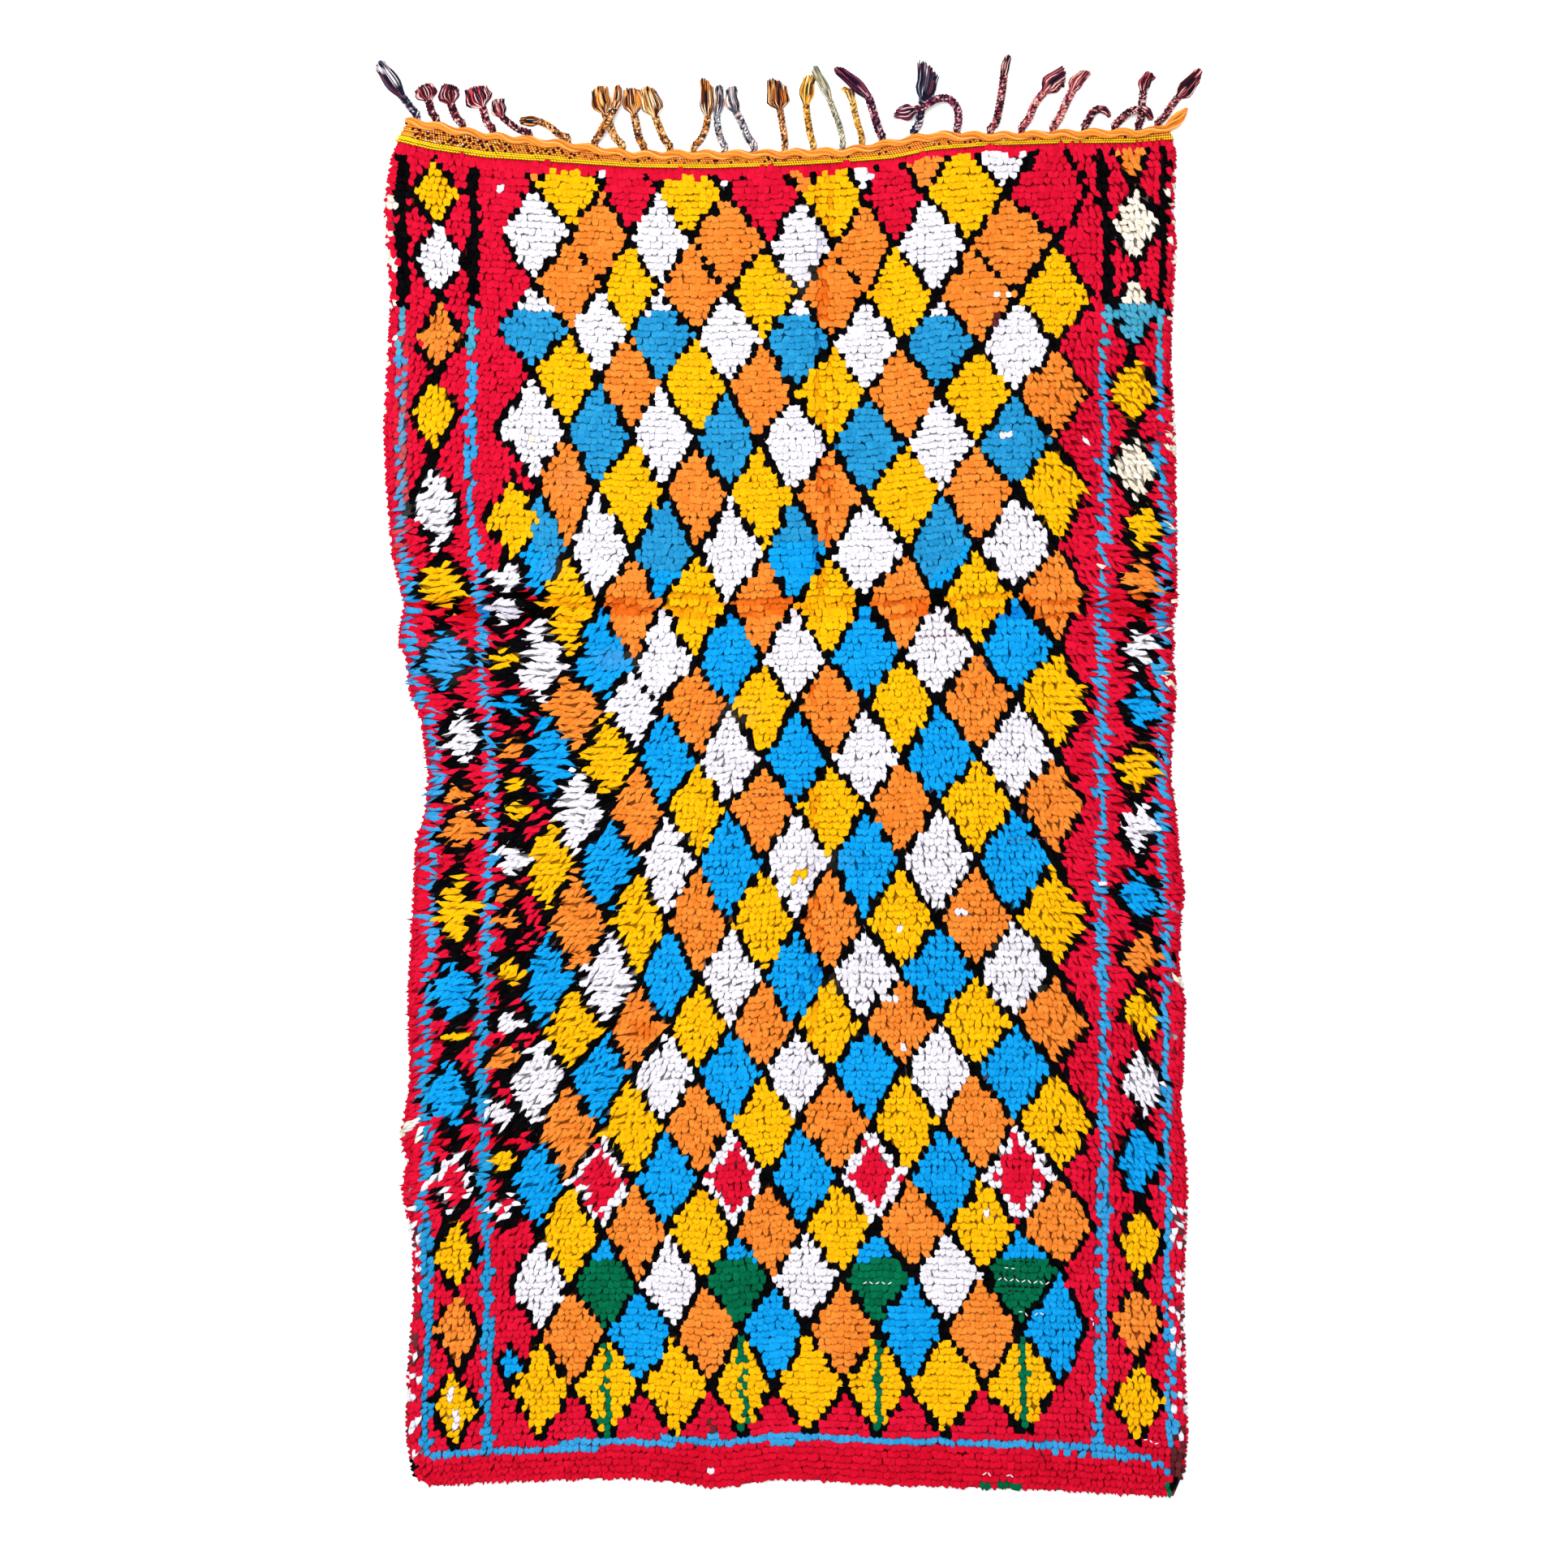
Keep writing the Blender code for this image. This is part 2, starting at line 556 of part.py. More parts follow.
def make_cord(band_edge):
    mesh = bmesh.new()
    tail = [named(TAIL_COLUMNS, row) for row in TAIL]
    start, end = band_edge[0].x - 4 * MM, tail[0]["x"] * MM - CORD_STEP
    count = int((end - start) / CORD_STEP)
    stations = []
    for k in range(count + 1):
        x = blend(start, end, k / count)
        scallop = SCALLOP * math.sin(2 * math.pi * x / SCALLOP_LENGTH)
        swell = 1.0 + CORD_TWIST_SWELL * (-1) ** k
        taper = 0.5 if k == 0 else 1.0
        stations.append((Vector((x, edge_y(band_edge, x) + scallop, CORD_FLOOR)),
                         CORD_WIDTH * swell * taper, CORD_HEIGHT * taper))
    for row in tail:
        height = CORD_HEIGHT * min(row["width"] * MM / CORD_WIDTH, 1.0)
        stations.append((Vector((row["x"], row["y"], row["floor"])) * MM, row["width"] * MM, height))

    rings = []
    for k, (centre, width, height) in enumerate(stations):
        ahead = stations[min(k + 1, len(stations) - 1)][0] - stations[max(k - 1, 0)][0]
        across = Vector((-ahead.y, ahead.x, 0.0)).normalized()
        rings.append([mesh.verts.new(centre + across * side * width + Vector((0.0, 0.0, up * height)))
                      for side, up in CORD_PROFILE])
    for a, b in zip(rings, rings[1:]):
        for k in range(len(CORD_PROFILE)):
            mesh.faces.new((a[k - 1], a[k], b[k], b[k - 1]))
    mesh.faces.new(rings[0])
    mesh.faces.new(rings[-1])
    return finish("edge_cord", mesh, (1.0, 0.28, 0.03), 0.9)


def centre_on_floor(pieces):
    # The origin is under the middle of the whole rug's box
    points = [v.co for piece in pieces for v in piece.data.vertices]
    middle = [(min(p[axis] for p in points) + max(p[axis] for p in points)) / 2 for axis in (0, 1)]
    for piece in pieces:
        for v in piece.data.vertices:
            v.co.x -= middle[0]
            v.co.y -= middle[1]


cloth, cloth_end = make_cloth()
centre_on_floor([cloth, make_cord(cloth_end), make_fringe(cloth_end)])
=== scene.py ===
import math
import bpy
import numpy as np
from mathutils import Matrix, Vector
from mathutils.bvhtree import BVHTree


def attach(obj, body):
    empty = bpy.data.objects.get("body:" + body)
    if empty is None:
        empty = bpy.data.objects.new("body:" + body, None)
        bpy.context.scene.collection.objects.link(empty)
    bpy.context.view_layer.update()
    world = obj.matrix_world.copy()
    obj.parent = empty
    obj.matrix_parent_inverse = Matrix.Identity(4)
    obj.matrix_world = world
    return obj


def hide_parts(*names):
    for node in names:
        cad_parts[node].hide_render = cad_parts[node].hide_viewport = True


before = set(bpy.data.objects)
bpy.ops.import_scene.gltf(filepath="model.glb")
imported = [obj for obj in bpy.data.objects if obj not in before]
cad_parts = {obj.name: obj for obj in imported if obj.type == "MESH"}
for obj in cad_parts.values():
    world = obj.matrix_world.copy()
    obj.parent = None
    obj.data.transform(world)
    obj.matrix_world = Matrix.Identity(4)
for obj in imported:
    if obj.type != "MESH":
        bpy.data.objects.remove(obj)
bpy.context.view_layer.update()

dice = np.random.default_rng(11)      # every random choice below comes from here, so each run is alike
mm = 0.001

# The pattern is charted in steps of 1.5 mm: across from the left, down from the fringe end
chart = {"step": 1.5 * mm, "zeroAcross": 971.63, "zeroDown": 958.28}
rugMiddle = (-2.0585 * mm, -1.9214 * mm)      # the CAD tables count from here


def toChart(x, y):
    return x / chart["step"] + chart["zeroAcross"], chart["zeroDown"] - y / chart["step"]


def fromChart(across, down):
    return (across - chart["zeroAcross"]) * chart["step"], (chart["zeroDown"] - down) * chart["step"]


# Outline, as in the CAD source, in millimetres: y, left rim, right rim
rims = np.array((
    (-1336, -676, 712), (-1287, -700, 732), (-1220, -711, 738), (-1114, -710, 734), (-964, -698, 730),
    (-860, -699, 734), (-762, -720, 738), (-710, -710, 735), (-664, -722, 732), (-604, -711, 724),
    (-552, -704, 729), (-417, -708, 734), (-364, -706, 723), (-274, -702, 724), (-214, -698, 732),
    (-117, -693, 720), (-64, -676, 716), (10, -670, 706), (106, -684, 712), (160, -706, 717),
    (226, -712, 710), (248, -726, 714), (288, -722, 708), (318, -714, 718), (416, -738, 717),
    (536, -748, 716), (648, -753, 714), (760, -747, 706), (873, -740, 710), (986, -748, 717),
    (1060, -752, 712), (1136, -741, 716), (1178, -728, 714), (1200, -714, 702), (1221, -705, 694),
), float)

# x, outer edge of the plain strip, first knots, last knots, outer edge of the flat band
ends = np.array((
    (-724, -1282, -1279, 1176, 1215), (-664, -1316, -1313, 1161, 1204), (-560, -1308, -1305, 1146, 1185),
    (-410, -1304, -1300, 1136, 1167), (-290, -1300, -1297, 1128, 1150), (-184, -1311, -1308, 1126, 1150),
    (-140, -1318, -1315, 1126, 1150), (-94, -1317, -1311, 1128, 1151), (-20, -1306, -1299, 1130, 1152),
    (100, -1312, -1305, 1137, 1155), (190, -1318, -1311, 1144, 1172), (266, -1320, -1312, 1160, 1185),
    (370, -1324, -1317, 1168, 1184), (490, -1328, -1320, 1172, 1188), (640, -1338, -1329, 1173, 1191),
    (716, -1341, -1332, 1180, 1198),
), float)
firstKnots, lastKnots, bandEdge = 2, 3, 4      # columns of ends


def rimAt(y, side):
    return np.interp((y + rugMiddle[1]) / mm, rims[:, 0], rims[:, side]) * mm - rugMiddle[0]


def endAt(x, column):
    return np.interp((x + rugMiddle[0]) / mm, ends[:, 0], ends[:, column]) * mm - rugMiddle[1]


def placeOnCloth(shareAcross, lower, upper, shareAlong, tuck=0.0):
    # A point of the cloth, from its share of the width and its share of the way between two end lines
    x = np.zeros_like(shareAcross)
    for _ in range(4):
        y = endAt(x, lower) * (1 - shareAlong) + endAt(x, upper) * shareAlong
        left, right = rimAt(y, 1) + tuck, rimAt(y, 2) - tuck
        x = left + (right - left) * shareAcross
    return x, y


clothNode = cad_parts["rug_cloth"]
clothShape = BVHTree.FromPolygons([v.co.copy() for v in clothNode.data.vertices],
                                  [tuple(p.vertices) for p in clothNode.data.polygons])


def clothHeight(x, y):
    # Height of the CAD solid's top, with its lumps and folds
    found = np.zeros(len(x))
    for k in range(len(x)):
        hit = clothShape.ray_cast(Vector((x[k], y[k], 0.1)), Vector((0, 0, -1)))[0]
        found[k] = hit.z if hit else 0.0
    return found


# Dyed yarns: colour where the sun has reached, colour lower down, gloss
yarnColours = {
    "red": ("#D20F33", "#BD0626", 0.06),
    "black": ("#09080B", "#020203", 0.02),
    "yellow": ("#EEB202", "#E4A100", 0.08),
    "orange": ("#E78631", "#D57021", 0.08),
    "white": ("#E1DDE7", "#D2CED9", 0.08),
    "blue": ("#0E98DE", "#0287CC", 0.06),
    "sea": ("#2791C6", "#187DB2", 0.06),         # the blue of the fringe half, more faded
    "sky": ("#3B98CE", "#2787C0", 0.06),         # of the stripes
    "teal": ("#4AA0BE", "#3389A8", 0.06),        # and of the borders near the fringe
    "green": ("#016A46", "#005536", 0.04),
    "cream": ("#EAE0D6", "#D6CAB6", 0.08),
    "maroon": ("#6E2C31", "#43171C", 0.05),
}
code = {name: k for k, name in enumerate(yarnColours)}


def toLinear(hexColour):
    channels = [int(hexColour[k:k + 2], 16) / 255 for k in (1, 3, 5)]
    return tuple(c / 12.92 if c <= 0.04045 else ((c + 0.055) / 1.055) ** 2.4 for c in channels) + (1.0,)


def addNode(tree, kind, inputs, **settings):
    # Adds a node with its settings; an input gets a value, or the output that is linked to it
    node = tree.nodes.new(kind)
    for name, value in settings.items():
        setattr(node, name, value)
    for name, value in inputs.items():
        if isinstance(value, bpy.types.NodeSocket):
            tree.links.new(value, node.inputs[name])
        else:
            node.inputs[name].default_value = value
    return node


def newMaterial(name, roughness, ior, gloss):
    material = bpy.data.materials.new(name)
    material.use_nodes = True
    shader = material.node_tree.nodes["Principled BSDF"]
    shader.inputs["Roughness"].default_value = roughness
    shader.inputs["Metallic"].default_value = 0.0
    shader.inputs["IOR"].default_value = ior
    shader.inputs["Specular IOR Level"].default_value = gloss
    return material, material.node_tree, shader


def noise(tree, place, scale, detail):
    return addNode(tree, "ShaderNodeTexNoise", {"Vector": place, "Scale": scale, "Detail": detail}).outputs["Fac"]


def remap(tree, value, low, high, toLow=0.0, toHigh=1.0):
    return addNode(tree, "ShaderNodeMapRange", {"Value": value, "From Min": low, "From Max": high,
                                                "To Min": toLow, "To Max": toHigh}).outputs[0]


def calculate(tree, operation, a, b):
    return addNode(tree, "ShaderNodeMath", {0: a, 1: b}, operation=operation).outputs[0]


def mixColours(tree, share, a, b, blend="MIX"):
    return addNode(tree, "ShaderNodeMix", {0: share, 6: a, 7: b}, data_type="RGBA", blend_type=blend).outputs[2]


def finishYarn(tree, shader, colour, height, strength, distance):
    # The yarn's colour, and the relief of its plies
    bump = addNode(tree, "ShaderNodeBump", {"Height": height, "Strength": strength, "Distance": distance})
    tree.links.new(colour, shader.inputs["Base Color"])
    tree.links.new(bump.outputs["Normal"], shader.inputs["Normal"])


def knottedWool(name, bright, deep, gloss):
    # Hand-spun wool yarn, dyed and cut: matt, uneven in dye, with painted shade where a lock leaves the ground,
    # painted shade in the creases that draws the dye deeper and darker, also at a few listed places, and greyer where
    # it is stained
    material, tree, shader = newMaterial(name, 0.95, 1.54, gloss)
    lock = addNode(tree, "ShaderNodeAttribute", {}, attribute_name="lock")
    parts = addNode(tree, "ShaderNodeSeparateXYZ", {"Vector": lock.outputs["Vector"]}).outputs
    place = addNode(tree, "ShaderNodeTexCoord", {}).outputs["Object"]
    fibre = noise(tree, place, 260.0, 3.0)      # 3 mm plies
    washed = noise(tree, place, 7.0, 3.0)       # hand-wide
    own = calculate(tree, "ADD", parts["X"], fibre)
    share = remap(tree, calculate(tree, "ADD", own, washed), 0.8, 2.1)
    dyed = mixColours(tree, share, toLinear(bright), toLinear(deep))
    # painted shade: below 0 the dye is drawn deeper and darker, in the creases and at the listed deepened places
    deepeningGamma = remap(tree, parts["Z"], -1.0, 0.0, 1.5, 1.0)
    dyed = addNode(tree, "ShaderNodeGamma", {"Color": dyed, "Gamma": deepeningGamma}).outputs[0]
    # painted shade: darker towards the lock's root, down between the rows
    root = remap(tree, parts["Y"], 0.0, 0.45, 0.72, 1.0)
    grain = remap(tree, fibre, 0.36, 0.50, 0.74, 1.0)
    shaded = mixColours(tree, 1.0, dyed, calculate(tree, "MULTIPLY", root, grain), "MULTIPLY")
    soiledWool = mixColours(tree, remap(tree, parts["Z"], 0.0, 1.0), shaded, toLinear("#7D746C"))
    finishYarn(tree, shader, soiledWool, fibre, 0.8, 2.0 * mm)
    return material


def colouredYarn(name, plyScale):
    # Wool yarn whose plies are dyed apart: each run of yarn carries its own colour in the mesh
    material, tree, shader = newMaterial(name, 0.92, 1.54, 0.08)
    dye = addNode(tree, "ShaderNodeAttribute", {}, attribute_name="dye").outputs["Color"]
    ply = noise(tree, addNode(tree, "ShaderNodeTexCoord", {}).outputs["Object"], plyScale, 2.0)
    shaded = mixColours(tree, 1.0, dye, remap(tree, ply, 0.3, 0.7, 0.72, 1.08), "MULTIPLY")
    finishYarn(tree, shader, shaded, ply, 0.4, 0.5 * mm)
    return material


def makePiece(name, points, faces, material, nodes, smooth=True, vectors=None, colours=None):
    # One joined mesh from arrays; faces is a list of index arrays, each with its own number of corners
    mesh = bpy.data.meshes.new(name)
    mesh.vertices.add(len(points))
    mesh.vertices.foreach_set("co", np.ascontiguousarray(points, np.float32).ravel())
    corners = np.concatenate([f.ravel() for f in faces])
    sizes = np.concatenate([np.full(len(f), f.shape[1]) for f in faces])
    mesh.loops.add(len(corners))
    mesh.loops.foreach_set("vertex_index", corners.astype(np.int32))
    mesh.polygons.add(len(sizes))
    mesh.polygons.foreach_set("loop_start", np.concatenate(([0], np.cumsum(sizes)[:-1])).astype(np.int32))
    mesh.polygons.foreach_set("loop_total", sizes.astype(np.int32))
    mesh.polygons.foreach_set("use_smooth", np.full(len(sizes), True) if smooth is True else smooth)
    if vectors is not None:
        mesh.attributes.new("lock", "FLOAT_VECTOR", "POINT").data.foreach_set(
            "vector", np.ascontiguousarray(vectors, np.float32).ravel())
    if colours is not None:
        mesh.attributes.new("dye", "FLOAT_COLOR", "POINT").data.foreach_set(
            "color", np.ascontiguousarray(colours, np.float32).ravel())
    mesh.update(calc_edges=True)
    mesh.validate()
    mesh.materials.append(material)
    piece = bpy.data.objects.new(name, mesh)
    bpy.context.scene.collection.objects.link(piece)
    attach(piece, "root")
    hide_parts(*nodes)
    print("made", name, len(piece.data.polygons), "faces")
    return piece


# The lattice. Its lozenges' middles and side points lie on columns and rows half a repeat apart
lattice = {
    "firstColumn": -0.5,
    "firstRow": -1.0,
    "outline": 3.0,            # half the black line, in chart steps
    "brokenOutline": 0.8,      # how much of it is left between two lozenges of one colour
    "stations": (660, 1005, 1275),
}
# Columns as the weaver kept them: down, then each column across
latticeColumns = np.array((
    (240, 618, 660, 704, 742, 778, 810, 845, 894, 948, 988, 1028, 1066, 1096, 1140, 1187, 1237, 1302, 1340),
    (400, 612, 658, 700, 740, 773, 813, 855, 898, 940, 985, 1025, 1066, 1110, 1158, 1207, 1253, 1303, 1346),
    (540, 610, 655, 697, 736, 778, 817, 857, 896, 934, 977, 1022, 1071, 1116, 1158, 1203, 1250, 1299, 1341),
    (650, 640, 668, 696, 733, 778, 818, 860, 900, 942, 978, 1022, 1065, 1117, 1161, 1204, 1252, 1301, 1344),
    (860, 632, 663, 703, 744, 781, 812, 856, 898, 938, 978, 1021, 1065, 1110, 1156, 1203, 1251, 1305, 1345),
    (985, 648, 678, 713, 749, 787, 820, 860, 896, 942, 981, 1025, 1068, 1112, 1156, 1204, 1251, 1300, 1338),
    (1250, 636, 666, 708, 748, 785, 822, 860, 899, 940, 979, 1020, 1062, 1108, 1155, 1200, 1250, 1300, 1346),
    (1370, 618, 660, 698, 738, 777, 818, 860, 900, 942, 983, 1027, 1072, 1115, 1158, 1203, 1251, 1303, 1352),
    (1490, 628, 660, 698, 740, 784, 820, 863, 903, 947, 987, 1034, 1077, 1124, 1167, 1212, 1254, 1308, 1354),
    (1620, 628, 666, 706, 748, 789, 828, 871, 913, 953, 994, 1040, 1081, 1125, 1166, 1212, 1259, 1304, 1340),
    (1710, 628, 663, 705, 746, 790, 833, 876, 916, 954, 996, 1041, 1082, 1120, 1163, 1211, 1261, 1306, 1345),
), float)
# A row of lozenges each half repeat: its middle at the three stations, then the two colours that take turns
latticeRows = (
    (168, 180, 158, "orange", "white"),
    (228, 243, 238, "yellow", "red"),
    (285, 306, 297, "white", "orange"),
    (349, 362, 367, "orange", "yellow"),
    (404, 422, 427, "blue", "white"),
    (460, 485, 485, "yellow", "orange"),
    (530, 552, 544, "white", "blue"),
    (597, 614, 602, "orange", "yellow"),
    (679, 682, 671, "blue", "white"),
    (742, 745, 732, "yellow", "orange"),
    (825, 812, 797, "white", "blue"),
    (870, 870, 857, "orange", "yellow"),
    (935, 937, 931, "blue", "white"),
    (1000, 995, 987, "yellow", "orange"),
    (1066, 1060, 1060, "white", "blue"),
    (1137, 1140, 1130, "orange", "yellow"),
    (1210, 1202, 1197, "blue", "white"),
    (1272, 1265, 1257, "yellow", "orange"),
    (1327, 1320, 1315, "white", "blue"),
    (1397, 1382, 1382, "orange", "yellow"),
    (1457, 1450, 1450, "blue", "red"),
    (1522, 1512, 1512, "yellow", "orange"),
    (1585, 1577, 1565, "white", "green"),
    (1645, 1637, 1637, "orange", "blue"),
    (1712, 1708, 1707, "yellow", "yellow"),
    (1775, 1770, 1770, "red", "red"),
)
# Where the weaver left the order: row, place in the row, colour
latticeExceptions = ((4.5, 1, "white"), (5.0, 1, "yellow"), (5.5, 0, "white"), (6.0, 0, "yellow"))

# Lozenges of the two borders and the small ones at the lattice's left edge:
# across, down, half width, half height, colour, lean (steps across for each step down)
loneLozenges = (
    (537, 238, 27, 39, "yellow", 0), (540, 320, 30, 42, "white", 0), (541, 415, 26, 42, "orange", 0),
    (535, 510, 27, 44, "yellow", 0), (535, 625, 28, 52, "white", 0.05), (546, 722, 31, 34, "yellow", 0.1),
    (550, 812, 28, 36, "blue", 0), (566, 908, 21, 36, "white", 0), (566, 981, 19, 16, "orange", 0),
    (570, 1024, 26, 25, "orange", 0), (562, 1121, 27, 46, "yellow", -0.1), (560, 1222, 30, 42, "blue", 0),
    (559, 1280, 13, 10, "yellow", 0), (556, 1350, 28, 44, "blue", 0), (558, 1456, 27, 39, "red", 0),
    (560, 1545, 27, 41, "yellow", 0), (564, 1640, 27, 43, "orange", 0), (559, 1736, 28, 43, "yellow", 0),
    (1396, 189, 20, 29, "orange", 0), (1400, 277, 29, 44, "cream", 0), (1398, 385, 27, 42, "blue", 0),
    (1398, 482, 28, 38, "yellow", 0), (1398, 576, 28, 42, "cream", 0), (1408, 650, 21, 30, "yellow", 0),
    (1411, 716, 24, 27, "orange", 0), (1404, 800, 20, 26, "white", 0), (1407, 872, 24, 28, "blue", 0),
    (1402, 946, 27, 31, "yellow", 0), (1405, 1018, 22, 34, "white", 0), (1405, 1104, 24, 34, "blue", 0.1),
    (1405, 1178, 26, 28, "orange", 0.1), (1408, 1250, 23, 30, "yellow", 0.1), (1410, 1335, 25, 40, "white", 0.1),
    (1403, 1430, 28, 46, "blue", 0), (1405, 1530, 26, 46, "yellow", 0), (1402, 1628, 32, 43, "orange", 0),
    (1401, 1727, 33, 45, "yellow", 0),
    (632, 641, 34, 47, "yellow", 0), (627, 712, 20, 20, "white", 0), (622, 752, 24, 17, "white", 0),
    (620, 811, 18, 14, "yellow", 0), (628, 870, 18, 13, "blue", 0), (628, 922, 16, 14, "orange", 0),
    (634, 968, 11, 9, "yellow", 0), (636, 1000, 14, 13, "yellow", 0), (633, 1060, 22, 21, "white", 0),
    (627, 1100, 13, 13, "orange", 0), (626, 1136, 15, 14, "orange", 0), (628, 1197, 16, 20, "yellow", 0),
    (625, 1260, 18, 14, "white", 0), (622, 1307, 20, 17, "orange", 0), (616, 1372, 20, 20, "white", 0.3),
    (618, 1431, 15, 19, "yellow", 0), (622, 1488, 17, 20, "red", 0), (627, 1682, 13, 20, "blue", 0),
)
# The four stripes down the borders: down, then each stripe's middle from the left
stripes = np.array((
    (185, 496, 583, 1355, 1436), (300, 496, 583, 1365, 1434), (380, 497, 583, 1363, 1431),
    (450, 496, 581, 1360, 1428), (560, 493, 579, 1361, 1428), (640, 493, 580, 1360, 1437),
    (690, 499, 588, 1360, 1435), (740, 507, 591, 1360, 1433), (770, 507, 593, 1357, 1430),
    (830, 511, 594, 1358, 1430), (870, 522, 599, 1357, 1431), (910, 535, 603, 1356, 1430),
    (970, 539, 608, 1357, 1430), (1030, 532, 605, 1357, 1433), (1070, 532, 602, 1357, 1434),
    (1120, 529, 600, 1357, 1436), (1200, 527, 598, 1358, 1435), (1250, 524, 594, 1361, 1435),
    (1290, 525, 590, 1360, 1436), (1350, 521, 593, 1360, 1438), (1400, 526, 595, 1362, 1437),
    (1480, 520, 596, 1360, 1438), (1560, 527, 600, 1360, 1438), (1620, 527, 601, 1358, 1441),
    (1700, 525, 601, 1355, 1442), (1790, 524, 601, 1353, 1443),
), float)
stripe = {
    "blackHalves": (7.8, 7.0, 6.8, 5.0),
    "blueShares": (0.8, 0.9, 0.95, 0.7),      # of stripeHalves, stripe by stripe
    "firstDown": 182, "blackUntil": 378, "tealUntil": 440, "deepBlueFrom": 1180, "lastDown": 1786,
    "unevenness": 1.4, "swayShare": 0.6,
}
stripeHalves = ((380, 5.2), (1300, 5.8), (1500, 6.8))      # down, half the blue stripe
# The stripe across the far end: across, down
endStripe = np.array(((512, 1792), (600, 1788), (700, 1782), (800, 1776), (1000, 1772), (1120, 1774), (1250, 1779),
                      (1300, 1785), (1375, 1789), (1411, 1797), (1433, 1808), (1443, 1822)), float)

# Worn and patched places: across, down, half width, half height, colour, share of the knots
worn = (
    (480, 350, 6, 160, "cream", 0.3), (1446, 300, 5, 130, "cream", 0.2), (1446, 530, 8, 30, "cream", 0.3),
    (1442, 640, 6, 260, "cream", 0.05), (1447, 900, 6, 60, "cream", 0.1), (1447, 1208, 12, 8, "cream", 0.7),
    (505, 1392, 11, 11, "cream", 0.75), (1453, 1640, 9, 150, "white", 0.33), (508, 1650, 9, 140, "maroon", 0.2),
    (509, 1650, 8, 150, "white", 0.2), (1455, 1640, 8, 150, "maroon", 0.12),
    (1453, 1810, 12, 30, "maroon", 0.85), (1443, 1839, 8, 10, "green", 0.8),
    (1452, 1828, 9, 9, "black", 0.8), (509, 1808, 5, 12, "black", 0.7), (512, 1500, 8, 120, "white", 0.12),
    (1240, 366, 4, 4, "cream", 0.9), (1226, 362, 5, 5, "cream", 0.9), (1226, 394, 4, 5, "maroon", 0.9),
    (655, 532, 5, 8, "cream", 0.6), (1113, 235, 4, 4, "maroon", 0.9), (1096, 238, 3, 3, "maroon", 0.9),
    (1184, 1123, 6, 6, "white", 0.9), (1107, 1142, 4, 4, "white", 0.9), (1093, 1227, 5, 4, "white", 0.9),
    (1107, 1227, 4, 4, "white", 0.9), (1090, 1283, 4, 4, "white", 0.9), (1111, 1287, 5, 5, "white", 0.9),
    (1310, 1389, 7, 4, "black", 0.6), (1318, 1372, 4, 4, "black", 0.6), (1365, 697, 6, 3, "cream", 0.9),
    (985, 1082, 8, 6, "yellow", 0.5), (1365, 1088, 7, 4, "white", 0.8), (870, 1756, 14, 8, "maroon", 0.2),
    (870, 1810, 40, 8, "white", 0.04), (1233, 1832, 27, 5, "green", 0.5), (1298, 1834, 12, 5, "green", 0.5),
    (1222, 1500, 6, 7, "white", 0.5), (1240, 534, 6, 6, "white", 0.6),
)
# Stained or deepened places: across, down, half width, half height, how grey (or, below 0, how much deeper and darker
# the colour is made)
stainedAndDeepened = (
    (496, 560, 6, 140, 0.35), (655, 532, 14, 12, 0.2), (1218, 366, 18, 8, 0.08), (1065, 1183, 14, 10, 0.15),
    (1032, 1213, 12, 10, 0.12), (550, 812, 24, 28, 0.15), (1250, 1165, 30, 8, 0.12), (1075, 360, 22, 16, -0.35),
    (700, 590, 18, 20, 0.1), (900, 940, 30, 10, 0.12), (985, 340, 24, 22, 0.12), (905, 880, 30, 14, 0.1),
    (1262, 1217, 24, 8, 0.18), (760, 812, 30, 12, 0.12), (1010, 1060, 40, 12, 0.08),
    (680, 700, 18, 14, 0.1), (870, 1475, 20, 12, -0.3), (790, 1270, 14, 12, -0.5), (610, 760, 60, 14, -0.4),
    (980, 1814, 560, 34, -0.22),
)


def waves(across, down, length, phase):
    # Gentle unevenness between -1 and 1
    a, d = across / length, down / length
    return 0.5 * (np.sin(6.3 * a + 2.1 * np.sin(3.1 * d + phase)) + np.sin(6.3 * d + 1.7 * np.sin(4.3 * a - phase)))


def readStripe(table, down, column):
    return np.interp(down, table[:, 0], table[:, column])


def columnPlaces(down):
    # Where each column of the lattice lies at this place down
    table = latticeColumns
    return np.stack([np.interp(down, table[:, 0], table[:, k]) for k in range(1, table.shape[1])], 1)


def rowPlaces(across):
    # Where each row of the lattice lies at this place across
    left, middle, right = (np.array([row[k] for row in latticeRows], float) for k in range(3))
    a, b, c = lattice["stations"]
    toMiddle = np.clip((across - a) / (b - a), 0, 1)[:, None]
    toRight = np.clip((across - b) / (c - b), 0, 1)[:, None]
    return left * (1 - toMiddle) + middle * (toMiddle - toRight) + right * toRight


def lozengeColour(column, row, isA):
    # Colour code of the lozenge in this place of the lattice, or -1 beyond its edge
    index = np.round((row - lattice["firstRow"]) * 2).astype(int)
    order = np.round(column - np.where(isA, 0.0, 0.5)).astype(int)
    inside = (index >= 0) & (index < len(latticeRows) - 1) & (order >= 0) & (order <= 7)
    turns = np.array([[code[r[3]], code[r[4]]] for r in latticeRows])
    colour = turns[np.clip(index, 0, len(latticeRows) - 1), order % 2]
    for exceptRow, exceptOrder, name in latticeExceptions:
        colour = np.where((np.abs(row - exceptRow) < 0.1) & (order == exceptOrder), code[name], colour)
    return np.where(inside, colour, -1)


